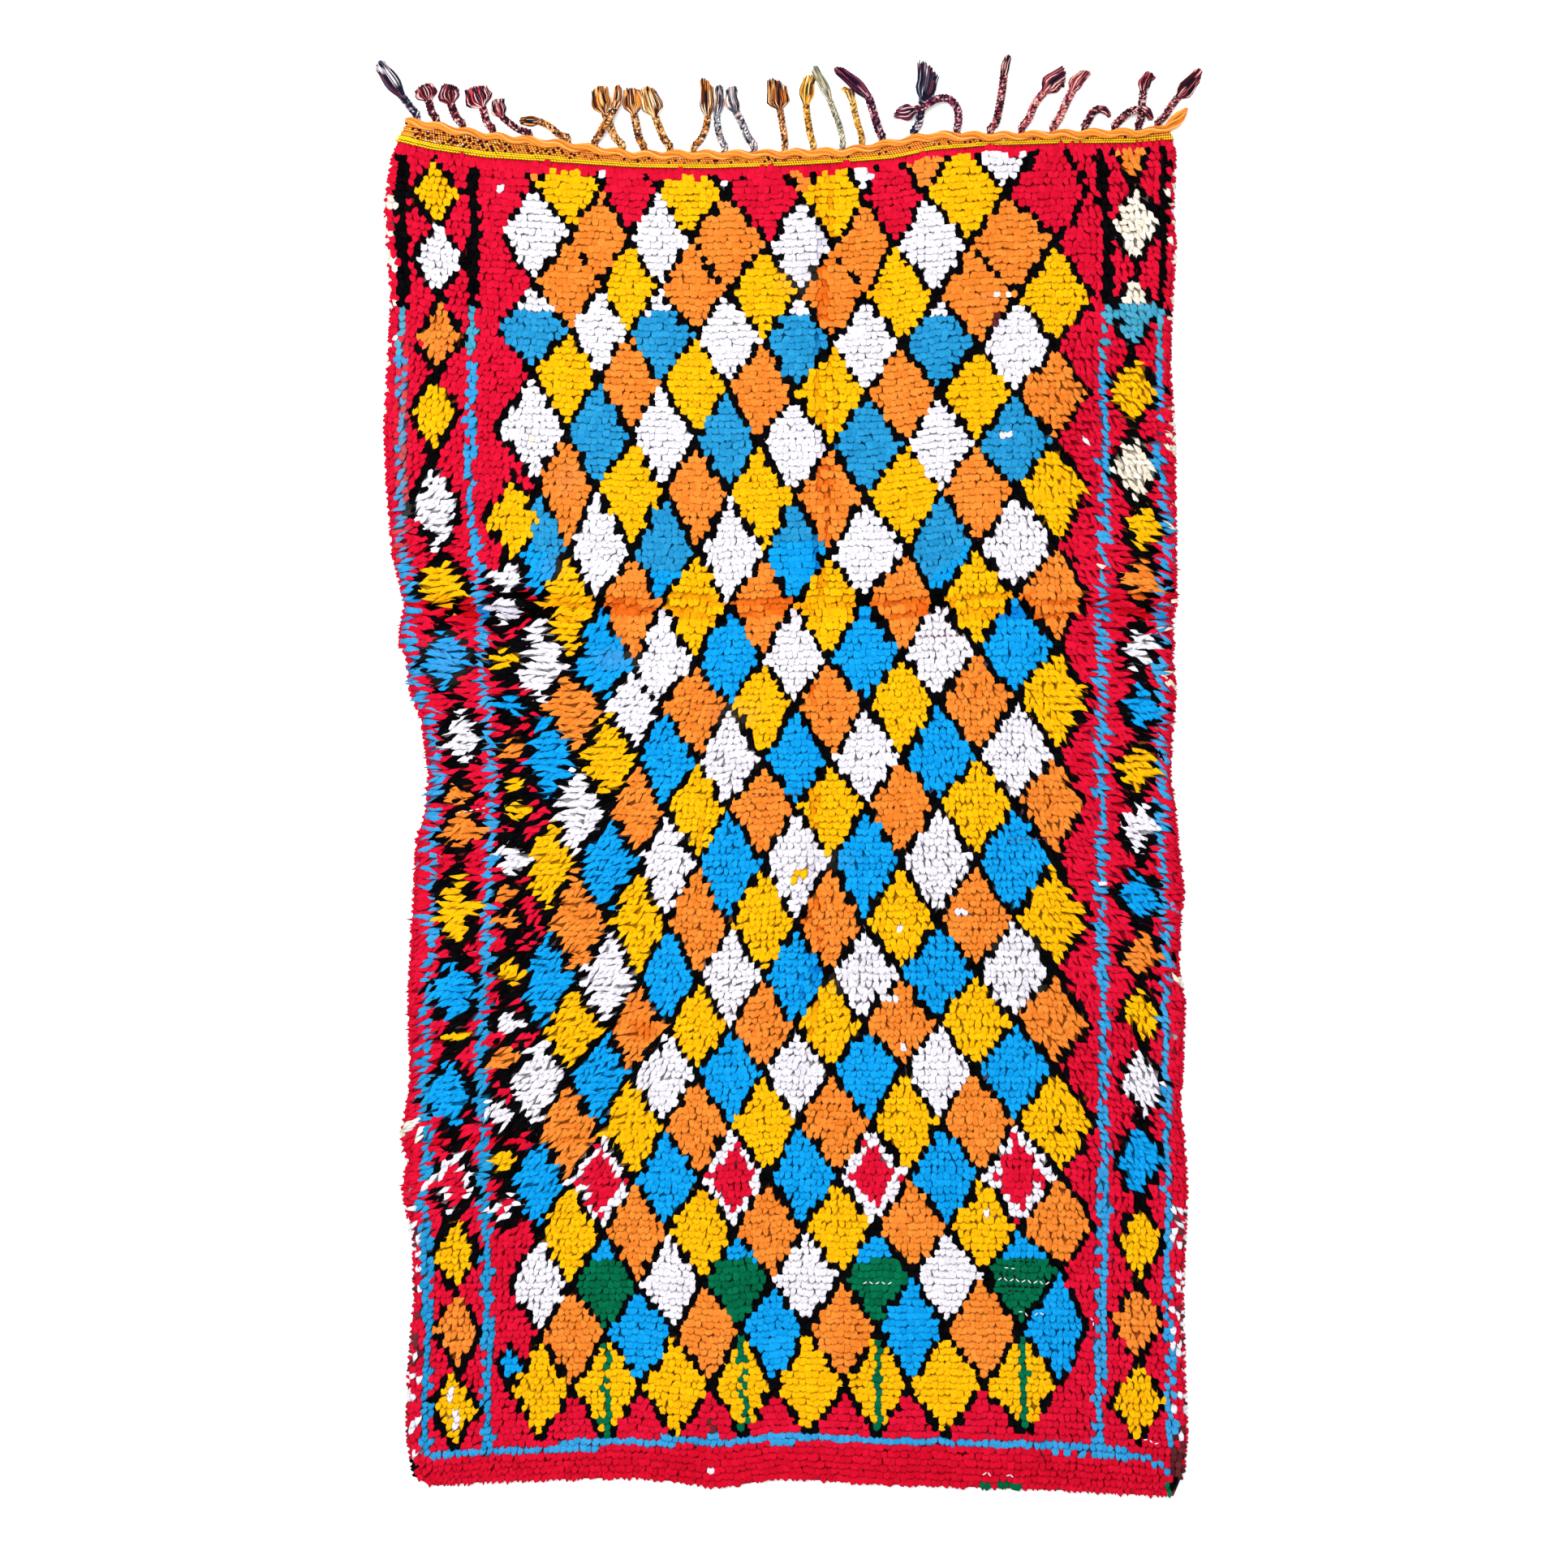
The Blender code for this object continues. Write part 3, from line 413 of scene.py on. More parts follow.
# How the knots of the pattern were tied, in chart steps where nothing else is said
knotting = {
    "lozengeDepth": 66.0, "columnPitch": 84.0,
    "spikyLine": 2.0, "unevenLine": 1.2,               # what long locks and chance add to half an outline
    "whiteRim": 12.0, "whiteRimShare": 0.85,           # of the red lozenges
    "whiteUntil": 386, "blueUntil": 1553,              # where the yarn changed inside one row of lozenges
    "stemHalf": 4.0, "stemFromEdge": 2.0,              # of the green stems in the last yellow lozenges
    "loneLine": 7.5, "spikyLoneLine": 6.0, "loneRim": 8.0, "loneUnevenness": 0.10,
    "latticeFrom": 655, "latticeTo": 1368,             # lone lozenges are outlined outside these
    "endStripeHalf": 5.0, "endStripeFrom": 510, "endStripeTo": 1446,
    "mixedShare": 0.42,                                # black knots among the red at the lattice's left edge
    "redRows": 19 * mm,                                # next to the flat band
    "strayShare": 0.0007,                              # white knots in the red
}
# Rows of lozenges, by the lattice's own count, where something else was done
oddRows = {"whiteOverBlue": 1.0, "whiteRims": 9.0, "blueOverGreen": 10.0, "stems": 11.0}


def chartColours(across, down, spiky, sway=0.0):
    # Yarn colour of each knot; spiky is 1 where long locks cross the outlines, so these are knotted wider
    count = len(across)
    colour = np.full(count, code["red"])
    chance = dice.random(count)

    # Lattice: u counts its columns and v its rows
    def countAlong(lines, at, first):
        k = np.clip((lines <= at[:, None]).sum(1) - 1, 0, lines.shape[1] - 2)
        low, high = lines[np.arange(count), k], lines[np.arange(count), k + 1]
        return first + 0.5 * (k + (at - low) / (high - low))
    u = countAlong(columnPlaces(down), across, lattice["firstColumn"])
    v = countAlong(rowPlaces(across), down, lattice["firstRow"])
    uA, vA = np.round(u), np.round(v)
    uB, vB = np.floor(u) + 0.5, np.floor(v) + 0.5
    dA, dB = np.abs(u - uA) + np.abs(v - vA), np.abs(u - uB) + np.abs(v - vB)
    isA = dA < dB
    mine = lozengeColour(np.where(isA, uA, uB), np.where(isA, vA, vB), isA)
    beside = lozengeColour(np.where(isA, uB, uA), np.where(isA, vB, vA), ~isA)
    toEdge = (0.5 - np.minimum(dA, dB)) * knotting["lozengeDepth"]
    inner = mine >= 0
    colour = np.where(inner, mine, colour)
    fromMiddle = (u - np.where(isA, uA, uB)) * knotting["columnPitch"]
    row = np.where(isA, vA, vB)

    def inRow(name, yarn):
        return inner & (row == oddRows[name]) & (mine == code[yarn])
    whiteRim = (toEdge < knotting["whiteRim"]) & (chance < knotting["whiteRimShare"])
    colour[inRow("whiteRims", "red") & whiteRim] = code["white"]
    colour[inRow("whiteOverBlue", "blue") & (down < knotting["whiteUntil"])] = code["white"]
    colour[inRow("blueOverGreen", "green") & (down < knotting["blueUntil"])] = code["blue"]
    stem = (np.abs(fromMiddle) < knotting["stemHalf"]) & (toEdge > knotting["stemFromEdge"])
    colour[inner & (row == oddRows["stems"]) & (np.round(u - 1) % 2 == 0) & stem] = code["green"]

    halfLine = (lattice["outline"] + knotting["spikyLine"] * spiky
                + knotting["unevenLine"] * waves(across, down, 40.0, 1.0))
    edge = (toEdge < halfLine) & (inner | (beside >= 0))
    colour[edge & ((mine != beside) | (chance < lattice["brokenOutline"]))] = code["black"]

    # Lone lozenges, with their outlines
    for x, y, w, h, name, lean in loneLozenges:
        over = np.abs(across - x - lean * (down - y)) / w + np.abs(down - y) / h
        ring = over + knotting["loneUnevenness"] * waves(across, down, 22.0, x)
        rim = 1.0 + (knotting["loneLine"] + knotting["spikyLoneLine"] * spiky) / min(w, h)
        outside = (across < knotting["latticeFrom"]) | (across > knotting["latticeTo"])
        colour[(ring < rim) & outside] = code["black"]
        fill = ring < 1.0
        colour[fill] = code[name]
        if name == "red":
            colour[fill & (ring > 1.0 - knotting["loneRim"] / min(w, h))] = code["white"]
        if name == "blue" and y < 400:
            colour[fill & (down < stripe["blackUntil"])] = code["cream"]
    colour[(np.abs(across - 559 - 0.1 * (down - 1736)) < 3) & (np.abs(down - 1736) < 26)] = code["white"]

    # Stripes
    isBlack = down < stripe["blackUntil"]
    stripeColour = np.where(isBlack, code["black"], np.where(down < stripe["tealUntil"], code["teal"], code["sky"]))
    stripeColour[(across < 800) & (down > stripe["deepBlueFrom"])] = code["sea"]
    blueHalf = np.interp(down, *zip(*stripeHalves))
    for column in (1, 2, 3, 4):
        middle = (readStripe(stripes, down, column) + stripe["swayShare"] * sway
                  + stripe["unevenness"] * waves(across, down, 18.0, column))
        half = np.where(isBlack, stripe["blackHalves"][column - 1], blueHalf * stripe["blueShares"][column - 1])
        on = (np.abs(across - middle) < half) & (down < stripe["lastDown"]) & (down > stripe["firstDown"])
        colour[on] = stripeColour[on]
    low = np.interp(across, endStripe[:, 0], endStripe[:, 1])
    on = (across > knotting["endStripeFrom"]) & (across < knotting["endStripeTo"])
    colour[on & (np.abs(down - low) < knotting["endStripeHalf"])] = code["sky"]

    # Sideways locks of the left lattice edge show the black knots among the red ones
    mixed = (np.abs(across - 634) < 26) & (down > 735) & (down < 1425) & (colour == code["red"])
    colour[mixed & (dice.random(count) < knotting["mixedShare"])] = code["black"]

    # Blue wool that faded differently
    faded = (colour == code["blue"]) & (down < 700 + 60 * waves(across, down, 200.0, 0.0))
    inBorder = (across < 600) | (across > 1350)
    colour[faded] = np.where(inBorder & (down < 640), code["teal"], code["sea"])[faded]

    # The first rows next to the flat band are red
    x, y = fromChart(across, down)
    colour[y > endAt(x, lastKnots) - knotting["redRows"]] = code["red"]

    for x, y, w, h, name, share in worn:
        on = (np.abs(across - x) < w) & (np.abs(down - y) < h) & (dice.random(count) < share)
        colour[on] = code[name]
    stray = dice.random(count)
    colour[(stray < knotting["strayShare"]) & (colour == code["red"])] = code["white"]
    return colour


# How the pile has been trodden and combed: across, down, then which way its locks lie (right, down),
# their reach and width in mm, how sharp they end, and the share that lies the other way
combing = np.array((
    (540, 300, 0.15, 1.0, 20, 14.0, 0.5, 0.0),
    (700, 260, 0.00, 1.0, 18, 16.5, 0.3, 0.0),
    (1000, 300, 0.00, 1.0, 18, 16.5, 0.3, 0.0),
    (1250, 300, 0.05, 1.0, 18, 16.5, 0.3, 0.0),
    (1400, 280, 0.60, 0.8, 22, 13.0, 0.7, 0.30),
    (500, 520, -0.40, 1.0, 21, 13.5, 0.6, 0.1),
    (760, 540, 0.00, 1.0, 18, 16.5, 0.3, 0.0),
    (1150, 540, 0.00, 1.0, 18, 16.5, 0.3, 0.0),
    (1400, 520, 0.80, 0.6, 24, 11.6, 0.9, 0.35),
    (520, 680, -0.90, 0.5, 27, 12.0, 0.9, 0.2),
    (640, 650, -0.30, 1.0, 21, 14.0, 0.5, 0.1),
    (540, 770, -1.00, 0.05, 37, 12.0, 1.0, 0.35),
    (640, 780, -1.00, 0.10, 36, 12.0, 1.0, 0.35),
    (800, 740, -0.40, 1.0, 21, 15.5, 0.5, 0.1),
    (1000, 740, 0.00, 1.0, 19, 15.5, 0.3, 0.0),
    (1250, 740, 0.30, 1.0, 21, 14.0, 0.5, 0.1),
    (1400, 740, 1.00, 0.10, 35, 11.6, 1.0, 0.4),
    (560, 900, -1.00, 0.25, 36, 12.0, 1.0, 0.3),
    (680, 920, -1.00, 0.30, 31, 12.0, 1.0, 0.3),
    (860, 900, -0.60, 0.9, 21, 13.5, 0.6, 0.15),
    (1000, 960, 0.00, 1.0, 19, 15.0, 0.5, 0.05),
    (1200, 920, 0.40, 1.0, 21, 13.5, 0.6, 0.15),
    (1400, 900, 1.00, 0.30, 31, 11.6, 1.0, 0.4),
    (560, 1080, -1.00, 0.35, 36, 12.0, 1.0, 0.3),
    (690, 1120, -0.90, 0.6, 28, 12.0, 1.0, 0.25),
    (900, 1150, -0.40, 1.0, 20, 13.5, 0.6, 0.1),
    (1200, 1150, 0.30, 1.0, 20, 13.5, 0.6, 0.15),
    (1400, 1120, 1.00, 0.50, 30, 11.6, 1.0, 0.25),
    (560, 1260, -0.90, 0.6, 33, 12.0, 1.0, 0.2),
    (700, 1330, -0.80, 0.8, 27, 12.0, 1.0, 0.2),
    (560, 1420, -0.80, 0.6, 31, 12.0, 1.0, 0.25),
    (900, 1400, -0.20, 1.0, 20, 14.0, 0.5, 0.1),
    (1200, 1400, 0.20, 1.0, 20, 14.0, 0.5, 0.1),
    (1400, 1350, 0.70, 0.9, 24, 11.6, 0.9, 0.15),
    (560, 1620, -0.30, 1.0, 20, 13.0, 0.6, 0.05),
    (800, 1640, -0.20, 1.0, 19, 15.0, 0.5, 0.05),
    (1150, 1640, 0.10, 1.0, 18, 16.0, 0.4, 0.02),
    (1400, 1620, 0.30, 1.0, 20, 13.0, 0.6, 0.05),
    (1000, 1800, 0.00, 1.0, 18, 16.0, 0.3, 0.0),
), float)

# Creases in the pile: runs across or along, place, from, to, half width (chart steps), how far the tips sink (mm);
# the sink also paints shade into the colour there
creases = (
    ("across", 738, 480, 1460, 2.6, 5.0), ("across", 748, 480, 1460, 3.6, 7.5), ("across", 759, 480, 1460, 2.4, 5.0),
    ("across", 1406, 490, 740, 3.0, 3.0), ("along", 1008, 200, 800, 2.0, 6.0), ("along", 1018, 200, 760, 2.0, 6.0),
    ("along", 1027, 220, 640, 1.8, 4.5), ("along", 999, 820, 1330, 1.8, 5.5), ("along", 1007, 900, 1280, 1.6, 5.0),
    ("along", 988, 1040, 1420, 1.6, 3.5), ("along", 862, 950, 1120, 1.5, 2.5),
)

pile = {
    "length": 2.455, "width": 1.425,      # of the knotted field
    "rowPitch": 12.8 * mm,
    "knotPitch": 11.6 * mm,
    "root": 3.0 * mm,          # height at which a lock leaves the ground weave
    "proud": 1.2 * mm,         # tips above the CAD solid's top
    "tuck": 7.0 * mm,
    "sway": 3.0, "combedSway": 5.5,      # chart steps
    "unevenHeight": 0.12 * mm,
    "thickness": 0.06,         # of a lock, as a share of its width
    "mostInPiece": 6500,       # locks
    "rootShare": 0.60,         # of a lock's reach that lies behind its knot's place
    "rootInset": 6 * mm, "overhang": 2 * mm,      # at the rims
    "leastHeight": 0.4 * mm,   # above the floor
    "stagger": 0.24,           # every other row, in knots
    "unevenAcross": 0.08, "unevenAlong": 0.05,    # in knots and in rows
    "widthSpread": 0.10, "reachSpread": 0.11, "slip": 0.5 * mm, "rowWave": 1.5 * mm,
    "spikyFrom": 20.0, "spikyRun": 12.0,          # reach in mm from which locks cross the outlines
}


def combingAt(across, down):
    apart = ((across[:, None] - combing[:, 0]) / 90) ** 2 + ((down[:, None] - combing[:, 1]) / 90) ** 2
    weight = 1.0 / (apart + 0.15) ** 2
    return weight @ combing[:, 2:] / weight.sum(1, keepdims=True)


def sinkAt(across, down):
    sink = np.zeros(len(across))
    for runs, place, start, end, half, depth in creases:
        away, run = (down, across) if runs == "across" else (across, down)
        bent = place + 2.5 * np.sin(run / 31.0 + place)
        fade = np.clip(np.minimum(run - start, end - run) / 40.0, 0, 1)
        sink = np.maximum(sink, depth * mm * fade * np.exp(-((away - bent) / half) ** 2))
    return sink


def stainAndShadeAt(across, down, sink):
    # painted shade below 0 where the tips sink into a crease, plus the listed stains and deepened places
    stainAndShade = -0.8 * np.clip(sink / (5.0 * mm), 0, 1)
    for x, y, w, h, amount in stainedAndDeepened:
        stainAndShade += amount * np.clip(1.4 - np.hypot((across - x) / w, (down - y) / h), 0, 1)
    return np.clip(stainAndShade, -1, 1)


# Cross-section of a felted lock, as shares of its half width and its thickness
lockRound = np.array(((-1.0, -0.5), (1.0, -0.5), (0.82, 0.12), (0.32, 0.45), (-0.32, 0.45), (-0.82, 0.12)))
lockPoints = 3 * len(lockRound) + 1


def makeLocks(x, y, heading, reach, width, sharp, top, bend, rootHeight):
    # Flattened locks that rise from the ground, lean over and lie on the next ones: three rounds and a tip
    count = len(x)
    out = np.empty((count, lockPoints, 3))
    side = np.stack([-heading[:, 1], heading[:, 0]], 1)
    run = np.stack([np.zeros(count), 0.32 * reach, (0.90 - 0.30 * sharp) * reach, reach * (1.03 + 0.12 * sharp)], 1)
    rise = np.stack([np.full(count, 0.35), np.full(count, 0.90), np.ones(count), np.full(count, 0.94)], 1)
    height = rootHeight[:, None] + (top - rootHeight)[:, None] * rise
    aside = bend[:, None] * (run / reach[:, None]) ** 2
    centre = np.stack([x[:, None] + heading[:, :1] * run + side[:, :1] * aside,
                       y[:, None] + heading[:, 1:] * run + side[:, 1:] * aside, height], 2)
    pointed = np.clip((sharp - 0.45) / 0.45, 0, 1)
    roll = math.radians(2.5) * (1 + 1.4 * pointed) * dice.standard_normal(count).clip(-2, 2)
    thickness = pile["thickness"] * (1 + 1.3 * pointed)
    for ring, (swell, slope) in enumerate(((0.85, 45), (1.0, 16), (0.92, -4))):
        half = width * (swell - (0.22 * sharp if ring == 2 else 0.0)) / 2
        lean = -math.sin(math.radians(slope))
        normal = np.stack([heading[:, 0] * lean, heading[:, 1] * lean,
                           np.full(count, math.cos(math.radians(slope)))], 1)
        across = np.concatenate([side, np.tan(roll)[:, None]], 1)
        depth = 2 * half * thickness
        for k, (sideways, up) in enumerate(lockRound):
            out[:, len(lockRound) * ring + k] = (centre[:, ring] + across * (half * sideways)[:, None]
                                                 + normal * (depth * up)[:, None])
    out[:, 0:2, 2] = rootHeight[:, None]
    out[:, -1] = centre[:, 3]
    out[:, :, 2] = np.maximum(out[:, :, 2], pile["leastHeight"])
    # share along each lock from root to tip, which the wool uses to paint shade near the root
    along = np.tile(np.array((0.0, 0.5, 0.9, 1.0)).repeat((6, 6, 6, 1)), (count, 1))
    return out, along


lockQuads = np.array([(6 * r + k, 6 * r + (k + 1) % 6, 6 * r + 6 + (k + 1) % 6, 6 * r + 6 + k)
                      for r in (0, 1) for k in range(6)])
lockTips = np.array([(12 + k, 12 + (k + 1) % 6, 18) for k in range(6)])
lockSmooth = np.array((False,) + (True,) * 5)      # the underside is flat


def rowSway(row, across):
    # How far each row of knots was pushed sideways, between -1 and 1
    return 0.6 * np.sin(12.9898 * row + 4.0 * np.sin(78.233 * row)) + 0.4 * np.sin(across / 23.0 + 2.4 * row)


def layPile():
    rowCount = int(round(pile["length"] / pile["rowPitch"]))
    knotCount = int(round(pile["width"] / pile["knotPitch"]))
    i, row = np.meshgrid(np.arange(knotCount), np.arange(rowCount), indexing="ij")
    i, row = i.ravel(), row.ravel()
    count = len(i)
    across = (i + 0.5 + pile["stagger"] * (row % 2) - pile["stagger"] / 2
              + pile["unevenAcross"] * dice.standard_normal(count)) / knotCount
    along = (row + 0.5 + pile["unevenAlong"] * dice.standard_normal(count)) / rowCount
    x, y = placeOnCloth(np.clip(across, 0.004, 0.996), firstKnots, lastKnots, np.clip(along, 0.002, 0.998),
                        pile["tuck"])
    cx, cy = toChart(x, y)
    lie = combingAt(cx, cy)
    spiky = np.clip((lie[:, 2] - pile["spikyFrom"]) / pile["spikyRun"], 0, 1)
    sharp = (lie[:, 4] + 0.15 * dice.standard_normal(count)).clip(0, 1)
    sway = rowSway(row, cx) * (pile["sway"] + pile["combedSway"] * spiky)
    colour = chartColours(cx + sway, cy, spiky, sway)
    y = y + pile["rowWave"] * waves(cx, cy * 0.4, 34.0, 0.4)
    clump = 0.5 + 0.5 * np.sin(cx / 15.0 + 2.4 * row * row) + 0.15 * dice.standard_normal(count)
    angle = np.arctan2(-lie[:, 1], lie[:, 0]) + np.where(clump < lie[:, 5], math.pi * 0.9, 0.0)
    angle += (0.05 + 0.12 * lie[:, 4]) * dice.standard_normal(count)
    angle += (0.20 * waves(cx, cy, 60.0, 0.9) + 0.20 * rowSway(row + 7, cx)) * lie[:, 4]
    heading = np.stack([np.cos(angle), np.sin(angle)], 1)
    width = lie[:, 3] * mm * (1.0 + pile["widthSpread"] * dice.standard_normal(count)).clip(0.75, 1.3)
    reach = lie[:, 2] * mm * (1.0 + pile["reachSpread"] * dice.standard_normal(count)).clip(0.7, 1.4)
    x = x - heading[:, 0] * pile["rootShare"] * reach + pile["slip"] * dice.standard_normal(count)
    y = y - heading[:, 1] * pile["rootShare"] * reach + pile["slip"] * dice.standard_normal(count)

    # Locks stay on the cloth: near a rim they start further in
    tipX, tipY = x + heading[:, 0] * reach, y + heading[:, 1] * reach
    beyond = np.maximum(rimAt(tipY, 1) - pile["overhang"] - tipX, tipX - rimAt(tipY, 2) - pile["overhang"]).clip(0)
    x -= np.sign(tipX) * beyond
    rootOut = np.maximum(rimAt(y, 1) + pile["rootInset"] - x, x - rimAt(y, 2) + pile["rootInset"]).clip(0)
    x -= np.sign(x) * rootOut
    y = np.minimum(y, endAt(x, lastKnots) - 2 * mm)
    y = np.maximum(y, endAt(x, firstKnots) + 4 * mm)

    midX, midY = x + heading[:, 0] * 0.62 * reach, y + heading[:, 1] * 0.62 * reach
    cx, cy = toChart(midX, midY)
    solidTop = clothHeight(midX, midY)
    solidTop = np.where(solidTop < 6 * mm, 8 * mm, solidTop)
    sink = sinkAt(cx, cy)
    top = solidTop + pile["proud"] + pile["unevenHeight"] * dice.standard_normal(count).clip(-2, 2) - sink
    bend = 0.08 * reach * dice.standard_normal(count) + 0.16 * reach * waves(cx, cy, 34.0, 2.0) * sharp
    shape, along = makeLocks(x, y, heading, reach, width, sharp, top, bend, np.full(count, pile["root"]))
    return shape, along, colour, stainAndShadeAt(cx, cy, sink)


# Locks that hang over the two long edges and over the far end
rimLocks = {"pitch": 7.0 * mm, "reach": 12 * mm, "width": 8.6 * mm, "top": 6.5 * mm, "root": 4.6 * mm,
            "droop": 3.0 * mm, "endPitch": 7.6 * mm, "endReach": 11.5 * mm, "endTop": 9.0 * mm,
            "endInset": 14 * mm}


def hangLocks(x, y, angle, reach, top):
    count = len(x)
    heading = np.stack([np.cos(angle), np.sin(angle)], 1)
    shape, along = makeLocks(x, y, heading, reach, np.full(count, rimLocks["width"]), np.full(count, 0.4),
                             np.full(count, top), 0.1 * reach * dice.standard_normal(count),
                             np.full(count, rimLocks["root"]))
    shape[:, 12:, 2] -= rimLocks["droop"]
    shape[:, :, 2] = np.maximum(shape[:, :, 2], pile["leastHeight"])
    # hanging locks keep little of the painted root shade
    return shape, np.maximum(along, 0.4)


def edgeLocks():
    shapes, alongs, colours = [], [], []
    for side, sign in ((1, -1.0), (2, 1.0)):
        y = np.arange(-1.29, 1.172, rimLocks["pitch"])
        count = len(y)
        y = y + 1.0 * mm * dice.standard_normal(count)
        reach = rimLocks["reach"] * (1 + 0.2 * dice.standard_normal(count))
        x = rimAt(y, side) - sign * (reach - 1.0 * mm)
        angle = np.where(sign > 0, 0.0, math.pi) + 0.35 * dice.standard_normal(count) + sign * -0.25
        shape, along = hangLocks(x, y, angle, reach, rimLocks["top"])
        cx, cy = toChart(x, y)
        shapes.append(shape)
        alongs.append(along)
        colours.append(chartColours(cx + sign * 3, cy, np.zeros(count)))
    x = np.arange(-0.70, 0.73, rimLocks["endPitch"])
    y = endAt(x, firstKnots) + 12 * mm
    inside = (x > rimAt(y, 1) + rimLocks["endInset"]) & (x < rimAt(y, 2) - rimLocks["endInset"])
    x, y = x[inside], y[inside]
    count = len(x)
    angle = -math.pi / 2 + 0.3 * dice.standard_normal(count)
    reach = rimLocks["endReach"] * (1 + 0.15 * dice.standard_normal(count))
    shape, along = hangLocks(x, y, angle, reach, rimLocks["endTop"])
    cx, cy = toChart(x, y)
    shapes.append(shape)
    alongs.append(along)
    colours.append(chartColours(cx, cy + 8, np.zeros(count)))
    shapes, alongs, colours = (np.concatenate(part) for part in (shapes, alongs, colours))
    return shapes, alongs, colours, np.zeros(len(shapes))


def splitPile():
    main, edge = layPile(), edgeLocks()
    shape = np.concatenate([main[0], edge[0]])
    along = np.concatenate([main[1], edge[1]])
    colour = np.concatenate([main[2], edge[2]])
    stainAndShade = np.concatenate([main[3], edge[3]])
    own = dice.random(len(shape))
    for name, number in code.items():
        picked = np.flatnonzero(colour == number)
        if not len(picked):
            continue
        material = knottedWool("knottedWool" + name.capitalize(), *yarnColours[name])
        parts = max(1, math.ceil(len(picked) / pile["mostInPiece"]))
        for part, chosen in enumerate(np.array_split(picked, parts)):
            count = len(chosen)
            start = (np.arange(count) * lockPoints)[:, None, None]
            quads = (lockQuads[None] + start).reshape(-1, 4)
            tips = (lockTips[None] + start).reshape(-1, 3)
            # lock holds each lock's own random tone, its share along the lock (which paints shade near the root), and
            # the stains with the painted crease shade
            vectors = np.stack([own[chosen].repeat(lockPoints), along[chosen].ravel(),
                                stainAndShade[chosen].repeat(lockPoints)], 1)
            label = "pile_" + name + ("_" + str(part + 1) if parts > 1 else "")
            smooth = np.tile(lockSmooth, 3 * count)
            makePiece(label, shape[chosen].reshape(-1, 3), [quads, tips], material,
                      ["rug_cloth"], smooth=smooth, vectors=vectors)


splitPile()


# Ground weave: the flat cloth that holds the knots, seen from below and between the locks
ground = {"across": 100, "along": 136, "height": 1.2 * mm, "ripple": 0.35 * mm}


def groundCloth():
    i, j = np.meshgrid(np.linspace(0, 1, ground["across"] + 1), np.linspace(0, 1, ground["along"] + 1), indexing="ij")
    x, y = placeOnCloth(i.ravel(), firstKnots, lastKnots, j.ravel(), 3 * mm)
    z = ground["height"] + ground["ripple"] * waves(x * 700, y * 700, 30.0, 0.0)
    stepY = ground["along"] + 1
    a = (np.arange(ground["across"])[:, None] * stepY + np.arange(ground["along"])[None]).ravel()
    quads = np.stack([a, a + stepY, a + stepY + 1, a + 1], 1)
    cx, cy = toChart(x, y)
    colour = chartColours(cx, cy, np.zeros(len(cx)))
    table = np.array([toLinear(yarnColours[name][1]) for name in code])
    # Plain-woven wool, beaten flat on the loom: dull, and dark between the locks
    material = colouredYarn("wovenBack", 260.0)
    cloth = makePiece("ground_weave", np.stack([x, y, z], 1), [quads], material, ["rug_cloth"],
                      colours=table[colour])


groundCloth()


def tubeMesh(paths, radii, sides, flatten=1.0):
    # Tubes along many paths of equal length: paths (n, m, 3), radii (n, m), with pointed ends
    n, m, _ = paths.shape
    ahead = np.gradient(paths, axis=1)
    ahead /= np.linalg.norm(ahead, axis=2, keepdims=True) + 1e-12
    up = np.zeros_like(ahead)
    up[..., 2] = 1.0
    aside = np.cross(ahead, up)
    aside /= np.linalg.norm(aside, axis=2, keepdims=True) + 1e-12
    up = np.cross(aside, ahead)
    turn = np.arange(sides) * 2 * math.pi / sides
    ringPoints = (paths[:, :, None] + radii[:, :, None, None] * (
        aside[:, :, None] * np.cos(turn)[None, None, :, None]
        + up[:, :, None] * flatten * np.sin(turn)[None, None, :, None]))
    points = ringPoints.reshape(-1, 3)
    base = (np.arange(n)[:, None] * m + np.arange(m - 1)[None]).ravel() * sides
    k = np.arange(sides)
    after = (k + 1) % sides
    quads = np.stack([base[:, None] + k, base[:, None] + after, base[:, None] + sides + after,
                      base[:, None] + sides + k], 2).reshape(-1, 4)
    return points, quads


# Mending stitches that were sewn through the pile: from (across, down), to (across, down), thread, zigzag (steps)
stitches = {"length": 6.0 * mm, "gap": 4.5 * mm, "radius": 1.3 * mm, "lift": 2.4 * mm}
stitchRows = (
    ((1246, 1553), (1277, 1555), "black", 0), ((1236, 1561), (1252, 1563), "white", 0),
    ((1228, 1569), (1254, 1572), "black", 0), ((1228, 1575), (1294, 1581), "white", 1.6),
    ((1232, 1584), (1282, 1586), "black", 0), ((1240, 1590), (1264, 1591), "black", 0),
    ((1254, 1614), (1268, 1621), "white", 1.0), ((1273, 1619), (1287, 1618), "white", 1.2),
    ((1344, 1622), (1348, 1634), "white", 0.5), ((1062, 1580), (1100, 1581), "white", 1.2),
    ((562, 1002), (600, 995), "white", 0), ((925, 978), (985, 979), "maroon", 0),
    ((1240, 1035), (1290, 1034), "maroon", 0), ((1130, 784), (1190, 783), "maroon", 0),
    ((1210, 1815), (1222, 1817), "white", 2.0), ((1240, 1817), (1249, 1819), "white", 1.0),
    ((1408, 1772), (1428, 1779), "white", 1.0),
)


